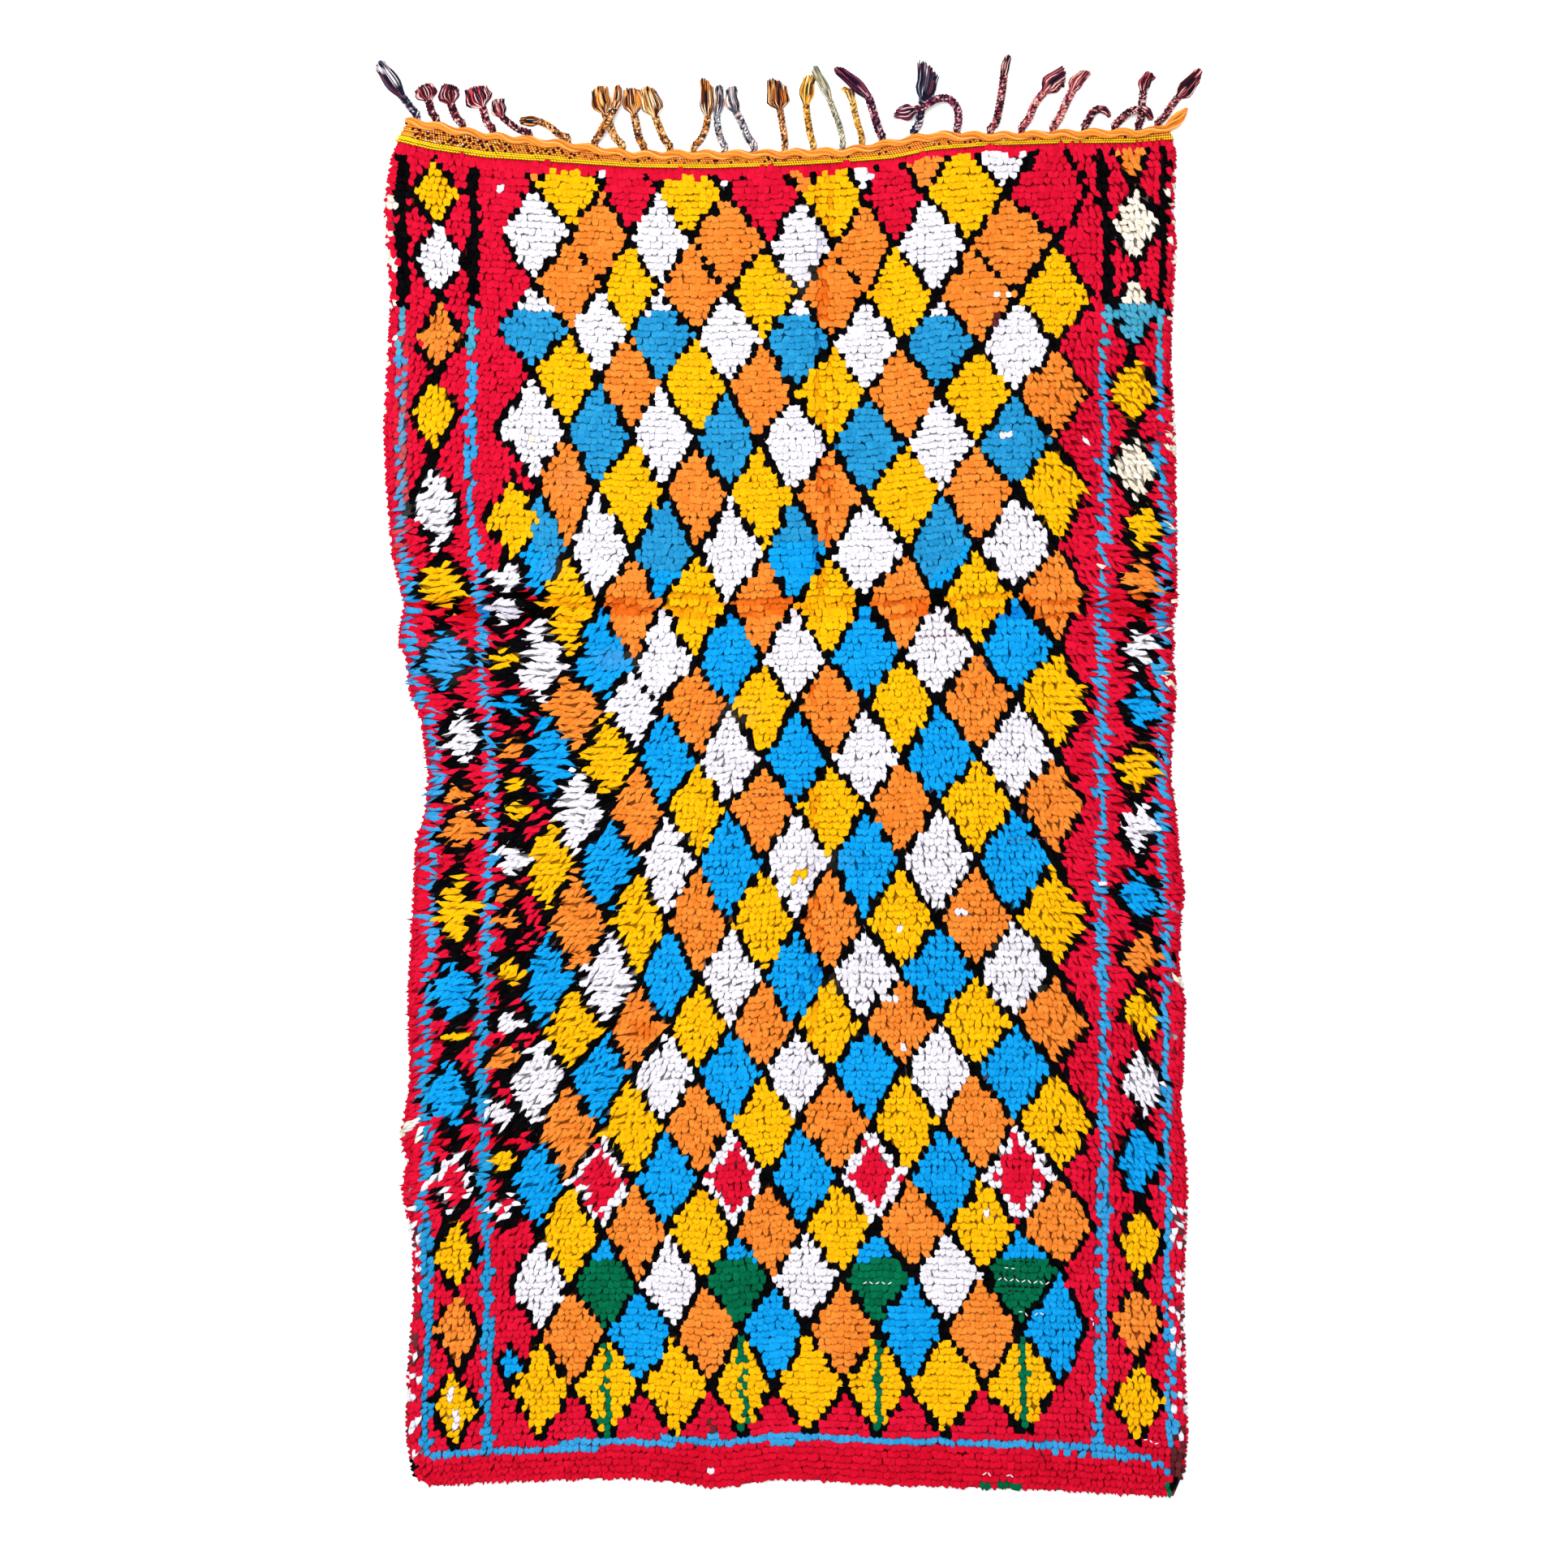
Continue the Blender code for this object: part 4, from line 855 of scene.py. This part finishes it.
def mendingStitches():
    paths, dyes = [], []
    for start, end, thread, zigzag in stitchRows:
        (ax, ay), (bx, by) = fromChart(*start), fromChart(*end)
        length = math.hypot(bx - ax, by - ay)
        count = max(int(length / (stitches["length"] + stitches["gap"])), 2)
        along = np.array(((bx - ax) / length, (by - ay) / length))
        aside = np.array((-along[1], along[0]))
        for k in range(count):
            middle = np.array((ax, ay)) + along * length * (k + 0.5) / count
            half = along * stitches["length"] / 2 + aside * zigzag * (-1) ** k * chart["step"]
            points = middle + np.array((-1.0, -0.6, 0.6, 1.0))[:, None] * half
            z = clothHeight(points[:, 0], points[:, 1]) + stitches["lift"] + np.array((-1.2, 0.6, 0.6, -1.2)) * mm
            paths.append(np.column_stack([points, z]))
            dyes.append(toLinear(yarnColours[thread][0]))
    radii = np.tile((0.5, 1.0, 1.0, 0.5), (len(paths), 1)) * stitches["radius"]
    points, quads = tubeMesh(np.array(paths), radii, 5)
    # Two-ply wool thread, twisted hard and sewn through: short, raised and even
    material = colouredYarn("twistedMendingThread", 900.0)
    makePiece("mending_stitches", points, [quads], material,
              ["rug_cloth"], colours=np.array(dyes).repeat(4 * 5, axis=0))


mendingStitches()


# Flat-woven band: weft beads over dark warps, yellow next to the pile and orange beyond
band = {"beadPitchLeft": 5.6 * mm, "beadPitchRight": 4.7 * mm, "rowPitch": 3.7 * mm, "top": 4.6 * mm,
        "beadFillLeft": 0.80, "beadFillRight": 0.90, "beadRadius": 2.0 * mm, "beadEnd": 0.5 * mm,
        "beadDip": 1.2 * mm, "halfWidth": 0.712, "tuck": 2 * mm,
        "yellowDepths": (11.5 * mm, 9.0 * mm)}      # of the yellow rows, left and right
bandDyes = {"yellow": "#FFD420", "amber": "#FFB838", "orange": "#FF9E40", "warps": "#4A1620", "navy": "#1C1428",
            "rust": "#A8501E", "pale": "#F6DEC8"}
speckDyes = ("warps", "rust", "navy", "warps", "navy", "rust", "pale")
# Up to this chart column: share of dark warps that show on every third diagonal, and elsewhere
bandSpecks = ((514, 0.10, 0.05), (640, 0.80, 0.10), (770, 0.50, 0.06), (1010, 0.34, 0.05), (2000, 0.26, 0.04))


def onBand(share, along):
    # A place on the flat band, from its shares of the width and the depth
    x, y = placeOnCloth(np.array([share]), lastKnots, bandEdge, np.array([along]), band["tuck"])
    return x[0], y[0]


def flatBand():
    paths, radii, dyes = [], [], []
    left, right = -band["halfWidth"], band["halfWidth"]
    x, column = left, 0
    while x < right:
        cx = toChart(np.array([x]), np.array([0.0]))[0][0]
        pitch = float(np.interp(cx, (640, 760), (band["beadPitchLeft"], band["beadPitchRight"])))
        share = (x - left) / (right - left)
        deep = onBand(share, 1.0)[1] - onBand(share, 0.0)[1]
        rowCount = max(int(deep / band["rowPitch"]), 3)
        for r in range(rowCount):
            along = (r + 0.5) / rowCount
            bx, by = onBand(share, along)
            bx += (0.5 * (r % 2) - 0.25) * pitch
            fromPile = along * deep
            isYellow = fromPile < np.interp(cx, (690, 710), band["yellowDepths"])
            fill = float(np.interp(cx, (640, 720), (band["beadFillLeft"], band["beadFillRight"])))
            fill = 1.2 if cx < 522 else 1.0 if isYellow else fill
            tilt = (0.22 if cx < 800 else 0.12) * (-1) ** r
            half = pitch * fill * (0.5 + 0.04 * dice.standard_normal())
            z = band["top"] - 1.5 * mm + 0.15 * mm * dice.standard_normal()
            dip = z - band["beadDip"]
            paths.append([(bx - half, by - tilt * half, dip), (bx - half * 0.55, by - tilt * half * 0.5, z),
                          (bx + half * 0.55, by + tilt * half * 0.5, z), (bx + half, by + tilt * half, dip)])
            full, end = band["beadRadius"], band["beadEnd"]
            radii.append([end, full, full, end])
            dye = "yellow" if isYellow else "amber" if dice.random() < 0.3 else "orange"
            diagonal, elsewhere = next((a, b) for edge, a, b in bandSpecks if cx < edge)
            if dye != "yellow" and dice.random() < (diagonal if (column + r) % 3 == 0 else elsewhere):
                dye = speckDyes[dice.integers(len(speckDyes))]
            dyes.append(toLinear(bandDyes[dye]))
        x += pitch
        column += 1
    points, quads = tubeMesh(np.array(paths), np.array(radii), 4, 0.75)
    colours = np.array(dyes).repeat(4 * 4, axis=0)
    # Soft-spun wool weft, beaten close over the warps: small rounded beads with fine plies
    material = colouredYarn("weftBeads", 700.0)
    makePiece("band_wefts", points, [quads], material, ["rug_cloth"], colours=colours)

    # Dark warps and the cloth under the beads
    stations = 120
    share = np.linspace(0, 1, stations)
    rows = []
    for along, height in ((0.0, 2.4), (0.5, 2.4), (1.0, 2.4), (1.0, 0.4), (0.0, 0.4)):
        x, y = placeOnCloth(share, lastKnots, bandEdge, np.full(stations, along), band["tuck"])
        rows.append(np.stack([x, y, np.full(stations, height * mm)], 1))
    points = np.concatenate(rows)
    a = np.arange(stations - 1)
    quads = np.concatenate([np.stack([a + r * stations, a + 1 + r * stations,
                                      a + 1 + ((r + 1) % 5) * stations, a + ((r + 1) % 5) * stations], 1)
                            for r in range(5)])
    toRight = np.clip((toChart(points[:, 0], points[:, 1])[0] - 640) / 120, 0, 1)[:, None]
    colours = np.array(toLinear("#22090F")) * (1 - toRight) + np.array(toLinear("#7A3A18")) * toRight
    # Dark wool warp, spun hard and stretched on the loom: dull and smooth under the beads
    material = colouredYarn("bandWarpYarn", 400.0)
    makePiece("band_warps", points, [quads], material, ["rug_cloth"], colours=colours)


flatBand()


# Edge cord: thick orange yarns laid together along the band's outer edge
cord = {"width": 14 * mm, "height": 10.5 * mm, "floor": 4.4 * mm, "strands": 8, "lay": 190 * mm,
        "scallop": 2.8 * mm, "scallopLength": 55 * mm, "step": 5 * mm, "yarn": 0.145, "start": -0.709}
cordTail = np.array(((697, 1199, 4.4, 14), (711, 1210, 4.4, 24), (723, 1223, 3.0, 20), (736, 1238, 0.4, 4)), float)
cordDyes = ("#FB9A3C", "#DE7E2C", "#FFA850", "#EC8A30", "#F8963A", "#CE7024", "#FFAE5A", "#F08C32")


def edgeCord():
    x = np.arange(cord["start"], 0.686, cord["step"])
    y = endAt(x, bandEdge) + cord["scallop"] * np.sin(2 * math.pi * x / cord["scallopLength"])
    width = np.full(len(x), cord["width"])
    floor = np.full(len(x), cord["floor"])
    tail = cordTail * mm
    t = np.linspace(0, 1, 16)[1:]
    place = np.linspace(0, 1, len(tail) + 1)
    tailX = np.interp(t, place, np.concatenate(([x[-1]], tail[:, 0] - rugMiddle[0])))
    tailY = np.interp(t, place, np.concatenate(([y[-1]], tail[:, 1] - rugMiddle[1])))
    tailW = np.interp(t, place, np.concatenate(([cord["width"]], tail[:, 3])))
    tailF = np.interp(t, place, np.concatenate(([cord["floor"]], tail[:, 2])))
    x, y = np.concatenate([x, tailX]), np.concatenate([y, tailY])
    width, floor = np.concatenate([width, tailW]), np.concatenate([floor, tailF])
    width[:4] *= (0.45, 0.7, 0.85, 0.95)
    height = cord["height"] * np.minimum(width / cord["width"], 1.0)
    ahead = np.stack([np.gradient(x), np.gradient(y)], 1)
    ahead /= np.linalg.norm(ahead, axis=1, keepdims=True)
    side = np.stack([-ahead[:, 1], ahead[:, 0]], 1)
    run = np.concatenate(([0], np.cumsum(np.hypot(np.diff(x), np.diff(y)))))
    paths, radii, dyes = [], [], []
    for k in range(cord["strands"]):
        phase = 2 * math.pi * (k / cord["strands"] + run / cord["lay"])
        slack = 1 + 0.12 * np.sin(run / (11 * mm) + 1.7 * k)
        aside = 0.36 * width * np.cos(phase) * slack
        up = floor + height * (0.5 + 0.30 * np.sin(phase))
        paths.append(np.stack([x + side[:, 0] * aside, y + side[:, 1] * aside, up], 1))
        radii.append(cord["yarn"] * width * (1.0 + 0.08 * np.sin(run / (7 * mm) + 2.0 * k)))
        dyes.append(toLinear(cordDyes[k % len(cordDyes)]))
    points, quads = tubeMesh(np.array(paths), np.array(radii), 6, 1.0)
    # painted shade: a dark brown core tube in the cord's middle, seen as dark gaps between the yarns
    shadeCore = np.stack([x, y, floor + 0.5 * height], 1)[None]      # dark between the yarns
    shadeCorePoints, shadeCoreQuads = tubeMesh(shadeCore, (0.30 * width)[None], 8, 0.8)
    quads = np.concatenate([quads, shadeCoreQuads + len(points)])
    points = np.concatenate([points, shadeCorePoints])
    colours = np.concatenate([np.array(dyes).repeat(len(x) * 6, axis=0),
                              np.array([toLinear("#84420F")]).repeat(len(x) * 8, axis=0)])
    # Thick wool yarns, laid together by hand: broad slanting strands, with painted shade from a dark core in the gaps
    material = colouredYarn("laidWoolCord", 420.0)
    makePiece("cord_strands", points, [quads], material, ["edge_cord"], colours=colours)


edgeCord()


# Braids from left to right, as in the CAD source: root, width, tuft width, bends (x, y, lift), neck, belly, tips
braids = (
    (-690, 14, 27, ((-702, 1239, 0),), (-716, 1258, 0), (-742, 1296, 0), ((-768, 1317), (-756, 1328)), "navy"),
    (-654, 14, 40, ((-662, 1228, 0),), (-668, 1250, 0), (-674, 1268, 0), ((-692, 1274), (-669, 1286)), "maroon"),
    (-606, 15, 37, ((-616, 1218, 0),), (-627, 1244, 0), (-632, 1264, 0), ((-639, 1287), (-616, 1276)), "maroon"),
    (-550, 14, 52, ((-560, 1210, 0),), (-568, 1238, 0), (-578, 1258, 0), ((-602, 1276), (-566, 1281)), "rose"),
    (-482, 12, 28, ((-500, 1197, 0), (-519, 1210, 0)), (-532, 1221, 0), (-540, 1239, 0),
     ((-548, 1254), (-534, 1256)), "maroon"),
    (-411, 12, 18, ((-426, 1188, 0), (-444, 1203, 0)), (-464, 1213, 0), (-482, 1214, 0), ((-500, 1215),), "rust"),
    (-360, 14, 16, ((-352, 1186, 8), (-343, 1202, 12.5), (-333, 1218, 13)), (-323, 1236, 11), (-318, 1256, 3),
     ((-322, 1280), (-312, 1280)), "rust"),
    (-310, 14, 36, ((-324, 1184, 0), (-333, 1206, 0)), (-342, 1227, 0), (-350, 1252, 0),
     ((-363, 1275), (-344, 1281)), "amber"),
    (-270, 14, 37, ((-278, 1180, 0), (-284, 1206, 0)), (-288, 1226, 0), (-291, 1250, 0),
     ((-303, 1276), (-284, 1275)), "rust"),
    (-222, 14, 37, ((-232, 1180, 0), (-242, 1203, 0)), (-249, 1221, 0), (-256, 1246, 0),
     ((-272, 1280), (-260, 1275)), "amber"),
    (-177, 12, 25, ((-166, 1178, 0), (-156, 1198, 0)), (-152, 1221, 0), (-153, 1250, 0),
     ((-164, 1300), (-146, 1281)), "rust"),
    (-120, 12, 16, ((-128, 1180, 0), (-134, 1206, 0)), (-135, 1224, 0), (-130, 1250, 0), ((-129, 1280),), "slate"),
    (-66, 14, 25, ((-78, 1184, 0), (-88, 1208, 0)), (-99, 1230, 0), (-108, 1252, 0),
     ((-117, 1274), (-102, 1281)), "slate"),
    (-9, 12, 40, ((-10, 1184, 0), (-14, 1210, 0)), (-18, 1234, 0), (-22, 1256, 0),
     ((-39, 1300), (-8, 1280)), "rust"),
    (44, 12, 24, ((39, 1184, 0), (34, 1210, 0)), (30, 1244, 0), (32, 1274, 0), ((38, 1299),), "mustard"),
    (98, 10, 16, ((96, 1188, 0), (90, 1210, 0)), (74, 1252, 0), (62, 1281, 0), ((40, 1312), (50, 1317)), "pale"),
    (134, 11, 14, ((132, 1188, 0), (124, 1214, 0)), (116, 1250, 0), (110, 1268, 0), ((99, 1276),), "mustard"),
    (171, 15, 22, ((165, 1196, 0), (156, 1226, 0)), (146, 1258, 0), (118, 1286, 0),
     ((80, 1310), (92, 1316)), "plum"),
    (230, 14, 37, ((238, 1207, 0), (241, 1222, 0)), (246, 1250, 0), (254, 1282, 0),
     ((243, 1334), (274, 1300)), "navy"),
    (310, 14, 27, ((312, 1214, 0), (310, 1236, 0), (294, 1254, 3), (270, 1251, 12), (250, 1239, 13)),
     (232, 1232, 10), (213, 1228, 3), ((189, 1221), (200, 1236)), "plum"),
    (372, 14, 14, ((381, 1210, 0), (388, 1240, 0), (393, 1270, 0)), (396, 1298, 0), (399, 1317, 0),
     ((405, 1336),), "maroon"),
    (430, 14, 36, ((442, 1218, 0), (453, 1244, 0)), (470, 1266, 0), (488, 1287, 0),
     ((514, 1320), (508, 1282)), "salmon"),
    (488, 15, 24, ((498, 1218, 0), (510, 1244, 0)), (522, 1268, 0), (532, 1288, 0),
     ((540, 1308), (558, 1306)), "salmon"),
    (546, 14, 14, ((552, 1214, 0), (561, 1230, 0)), (573, 1236, 0), (584, 1233, 0), ((594, 1224),), "maroon"),
    (602, 14, 14, ((610, 1214, 0), (627, 1228, 7)), (650, 1234, 13), (663, 1227, 10), ((672, 1218),), "maroon"),
    (646, 14, 22, ((650, 1218, 0), (651, 1240, 0)), (654, 1268, 0), (657, 1287, 0),
     ((662, 1308), (675, 1299)), "maroon"),
    (682, 13, 28, ((693, 1222, 0), (705, 1240, 0)), (718, 1257, 0), (735, 1274, 0),
     ((764, 1317), (760, 1292)), "maroon"),
)
# The yarns that each braid was plaited from
braidDyes = {
    "navy": ("#11152A", "#1E2440", "#0C0F1E", "#5A6078", "#E4DADF", "#6E2C3A", "#171B34", "#0E1124", "#14182E"),
    "maroon": ("#3C0F1E", "#5E1628", "#170E1A", "#C4505A", "#F6C2BC", "#120C18", "#461222", "#1C0C1C"),
    "rose": ("#4E1226", "#E54A5A", "#2C0D1A", "#E8787E", "#FCDCD4", "#1A0F1C", "#7E2236", "#1C0E1E", "#3A1022"),
    "rust": ("#5E2A1C", "#F29C3E", "#1C1018", "#C46A2C", "#FADCB4", "#150F1E", "#B87838", "#2A1418"),
    "amber": ("#F3A040", "#8E4C22", "#1E121E", "#F7B85C", "#F8DCB4", "#150F1C", "#4A2418", "#D08034"),
    "slate": ("#343A4C", "#A0A4B4", "#1E1620", "#D8A890", "#F4EAE4", "#141624", "#5C6072"),
    "mustard": ("#E2A02C", "#F2B848", "#5E3818", "#F8DC98", "#26160F", "#C8842A", "#9A6420"),
    "pale": ("#C8C0A4", "#8A947C", "#5A5A48", "#B08C64", "#F0EAD8", "#6E7866", "#3E3A30", "#D8D2C0"),
    "plum": ("#1E0C26", "#3E1434", "#120E26", "#A03A56", "#F0BCBE", "#140C1E", "#5A1C38"),
    "salmon": ("#B04452", "#EC8E86", "#4E1222", "#F8C6BA", "#200E1A", "#C85E62", "#180C18", "#3A1636"),
}
plait = {"strands": 3, "yarns": 4, "crossing": 21 * mm, "step": 3.0 * mm, "yarnRadius": 1.6 * mm,
         "foot": 12 * mm, "footSpread": 9.0 * mm, "fullness": 1.25, "tuftYarns": 54, "tuftYarnRadius": 1.3 * mm}


def smoothPath(points, step):
    # Evenly spaced points on a smooth line through the given ones
    fine = []
    for k in range(len(points) - 1):
        a, b = points[max(k - 1, 0)], points[k]
        c, d = points[k + 1], points[min(k + 2, len(points) - 1)]
        t = np.linspace(0, 1, 16, endpoint=False)[:, None]
        fine.append(0.5 * (2 * b + (c - a) * t + (2 * a - 5 * b + 4 * c - d) * t ** 2
                           + (3 * b - a - 3 * c + d) * t ** 3))
    fine = np.concatenate(fine + [points[-1][None]])
    run = np.concatenate(([0], np.cumsum(np.linalg.norm(np.diff(fine, axis=0), axis=1))))
    count = max(int(run[-1] / step), 4)
    at = np.linspace(0, run[-1], count + 1)
    return np.stack([np.interp(at, run, fine[:, k]) for k in range(3)], 1), at


def fromRug(p):
    # A point of the CAD tables, in metres
    return np.array([p[0] * mm - rugMiddle[0], p[1] * mm - rugMiddle[1], (p[2] if len(p) > 2 else 0.0) * mm])


def plaitedLength(row):
    # Three strands of four yarns that pass over each other, flattened and spread at the foot
    root, width, _, bends, neck = row[:5]
    rootX = root * mm - rugMiddle[0]
    edge = float(endAt(np.array([rootX]), bandEdge)[0]) + 3.0 * mm
    start = np.array([rootX, edge, 0.0])
    path, at = smoothPath([start, start + (0, 13 * mm, 0)] + [fromRug(p) for p in bends] + [fromRug(neck)],
                          plait["step"])
    ahead = np.gradient(path, axis=0)
    ahead /= np.linalg.norm(ahead, axis=1, keepdims=True)
    side = np.stack([-ahead[:, 1], ahead[:, 0], np.zeros(len(path))], 1)
    side /= np.linalg.norm(side, axis=1, keepdims=True)
    width = width * mm * plait["fullness"]
    foot = np.clip(1 - at / plait["foot"], 0, 1)
    flat = np.clip(at / plait["foot"], 0.15, 1)
    lift = 4.9 * mm * (1 - foot) + 2.4 * mm * foot
    lines, radii = [], []
    for s in range(plait["strands"]):
        phase = 2 * math.pi * (at / plait["crossing"] + s / 3)
        aside = foot * plait["footSpread"] * (s - 1) * 0.9 + (1 - foot) * 0.27 * width * np.sin(phase)
        up = lift + 1.9 * mm * np.sin(2 * phase) * flat
        for q in range(plait["yarns"]):
            turn = 2 * math.pi * (q / plait["yarns"] + at / (15 * mm) + s * 0.2)
            r = 1.5 * mm * flat
            p = path + side * (aside + r * np.cos(turn) * 1.2)[:, None]
            p[:, 2] += up + r * np.sin(turn)
            lines.append(p)
            radii.append(np.full(len(path), plait["yarnRadius"] * width / (14 * mm)) * (0.75 + 0.25 * flat))
    return np.array(lines), np.array(radii)


def looseEnds(row):
    # The unplaited yarns beyond the binding: they bulge at the belly and end unevenly at the tips
    width, tuft, neck, belly, tips = row[1] * mm, row[2] * mm, row[4], row[5], row[6]
    neckAt, bellyAt = fromRug(neck), fromRug(belly)
    heading = bellyAt - neckAt
    heading[2] = 0
    heading /= np.linalg.norm(heading)
    across = np.array((-heading[1], heading[0], 0.0))
    ends = sorted((fromRug(t) for t in tips), key=lambda t: float(np.dot(t - bellyAt, across)))
    lines = []
    for k in range(plait["tuftYarns"]):
        q = 2 * (k + 0.5) / plait["tuftYarns"] - 1 + dice.uniform(-0.1, 0.1)
        level = dice.uniform(0.0, 1.0) * math.sqrt(max(1 - q * q, 0.05))
        if len(ends) == 2:
            tip = ends[0] + (ends[1] - ends[0]) * (q + 1) / 2
        else:
            tip = ends[0]
        spread = max(0.42 * tuft - 0.5 * float(np.linalg.norm(ends[-1] - ends[0])), 0.12 * tuft)
        tip = tip + across * q * spread - heading * 0.22 * q * q * float(np.linalg.norm(tip - bellyAt))
        tip = bellyAt + (tip - bellyAt) * dice.uniform(0.84, 1.05)
        tip[:2] += dice.uniform(-1.0, 1.0, 2) * mm
        line = np.array([neckAt - heading * 5 * mm + across * q * 0.34 * width,
                         neckAt + heading * 3 * mm + across * q * 0.40 * width,
                         neckAt * 0.4 + bellyAt * 0.6 + across * q * 0.48 * tuft,
                         bellyAt + across * q * 0.48 * tuft,
                         bellyAt + (tip - bellyAt) * 0.55 + across * q * 0.19 * tuft, tip])
        line[:, 2] += np.array((4.0 + level, 4.5 + 2 * level, 3.0 + 7 * level, 2.6 + 7.5 * level,
                                2.2 + 5 * level, 1.6 + 2 * level)) * mm
        fine, _ = smoothPath(list(line), 1.0 * mm)
        lines.append(fine[np.linspace(0, len(fine) - 1, 8).round().astype(int)])
    taper = np.array((0.9, 1.0, 1.1, 1.1, 1.05, 1.0, 0.95, 0.6))
    return np.array(lines), np.tile(taper, (len(lines), 1)) * plait["tuftYarnRadius"]


def makeBraids():
    points, faces, colours, total = [], [], [], 0
    for row in braids:
        dyes = np.array([toLinear(c) for c in braidDyes[row[7]]])
        for lines, radii, run in (plaitedLength(row) + (1,), looseEnds(row) + (3,)):
            p, q = tubeMesh(lines, radii, 4)
            p[:, 2] = np.maximum(p[:, 2], 0.3 * mm)
            count, rings = lines.shape[:2]
            # marled yarn: each changes colour every few millimetres
            pick = dice.integers(0, len(dyes), (count, rings // run + 1)).repeat(run, axis=1)[:, :rings]
            points.append(p)
            faces.append(q + total)
            colours.append(dyes[pick].reshape(-1, 4).repeat(4, axis=0))
            total += len(p)
    # Marled wool warps, plies of several dyes twisted together and plaited: flecks along every yarn
    material = colouredYarn("marledWool", 800.0)
    makePiece("braids", np.concatenate(points), [np.concatenate(faces)], material,
              ["braid_fringe"], colours=np.concatenate(colours))


makeBraids()


# Floor, light and camera
def makeFloor():
    mesh = bpy.data.meshes.new("floor")
    mesh.from_pydata([(-6, -6, 0), (6, -6, 0), (6, 6, 0), (-6, 6, 0)], [], [(0, 1, 2, 3)])
    # Matt white paint, rolled on smooth boards: even and hardly glossy
    material, _, shader = newMaterial("paintedFloor", 0.9, 1.5, 0.2)
    shader.inputs["Base Color"].default_value = toLinear("#FBFBFB")
    mesh.materials.append(material)
    floor = bpy.data.objects.new("floor", mesh)
    bpy.context.scene.collection.objects.link(floor)


makeFloor()
print("laid the floor")

light = {"world": 0.96, "keySize": 4.0, "keyPower": 260.0, "keyPlace": (-1.6, 1.3, 4.9)}
world = bpy.data.worlds.new("studio")
world.use_nodes = True
world.node_tree.nodes["Background"].inputs["Color"].default_value = (1.0, 1.0, 1.0, 1.0)
world.node_tree.nodes["Background"].inputs["Strength"].default_value = light["world"]
bpy.context.scene.world = world

keyData = bpy.data.lights.new("softbox", "AREA")
keyData.shape = "SQUARE"
keyData.size = light["keySize"]
keyData.energy = light["keyPower"]
key = bpy.data.objects.new("softbox", keyData)
key.location = light["keyPlace"]
key.rotation_euler = (Vector((0, 0, 0)) - key.location).to_track_quat("-Z", "Y").to_euler()
bpy.context.scene.collection.objects.link(key)
print("lit the rug with", key.name, "and", world.name)

# The photograph's frame is 1932 steps wide and looks straight down
camera = {"height": 6.0, "frame": 1932 * chart["step"], "sensor": 36.0, "above": 12 * mm}
lens = bpy.data.cameras.new("camera")
lens.sensor_width = camera["sensor"]
lens.lens = camera["sensor"] * (camera["height"] - camera["above"]) / camera["frame"]
eye = bpy.data.objects.new("camera", lens)
lookX, lookY = fromChart(966.0, 966.0)
eye.location = (lookX, lookY, camera["height"])
bpy.context.scene.collection.objects.link(eye)
bpy.context.scene.camera = eye
bpy.context.scene.view_settings.view_transform = "Standard"
print("set the camera", camera["height"], "m above the rug")
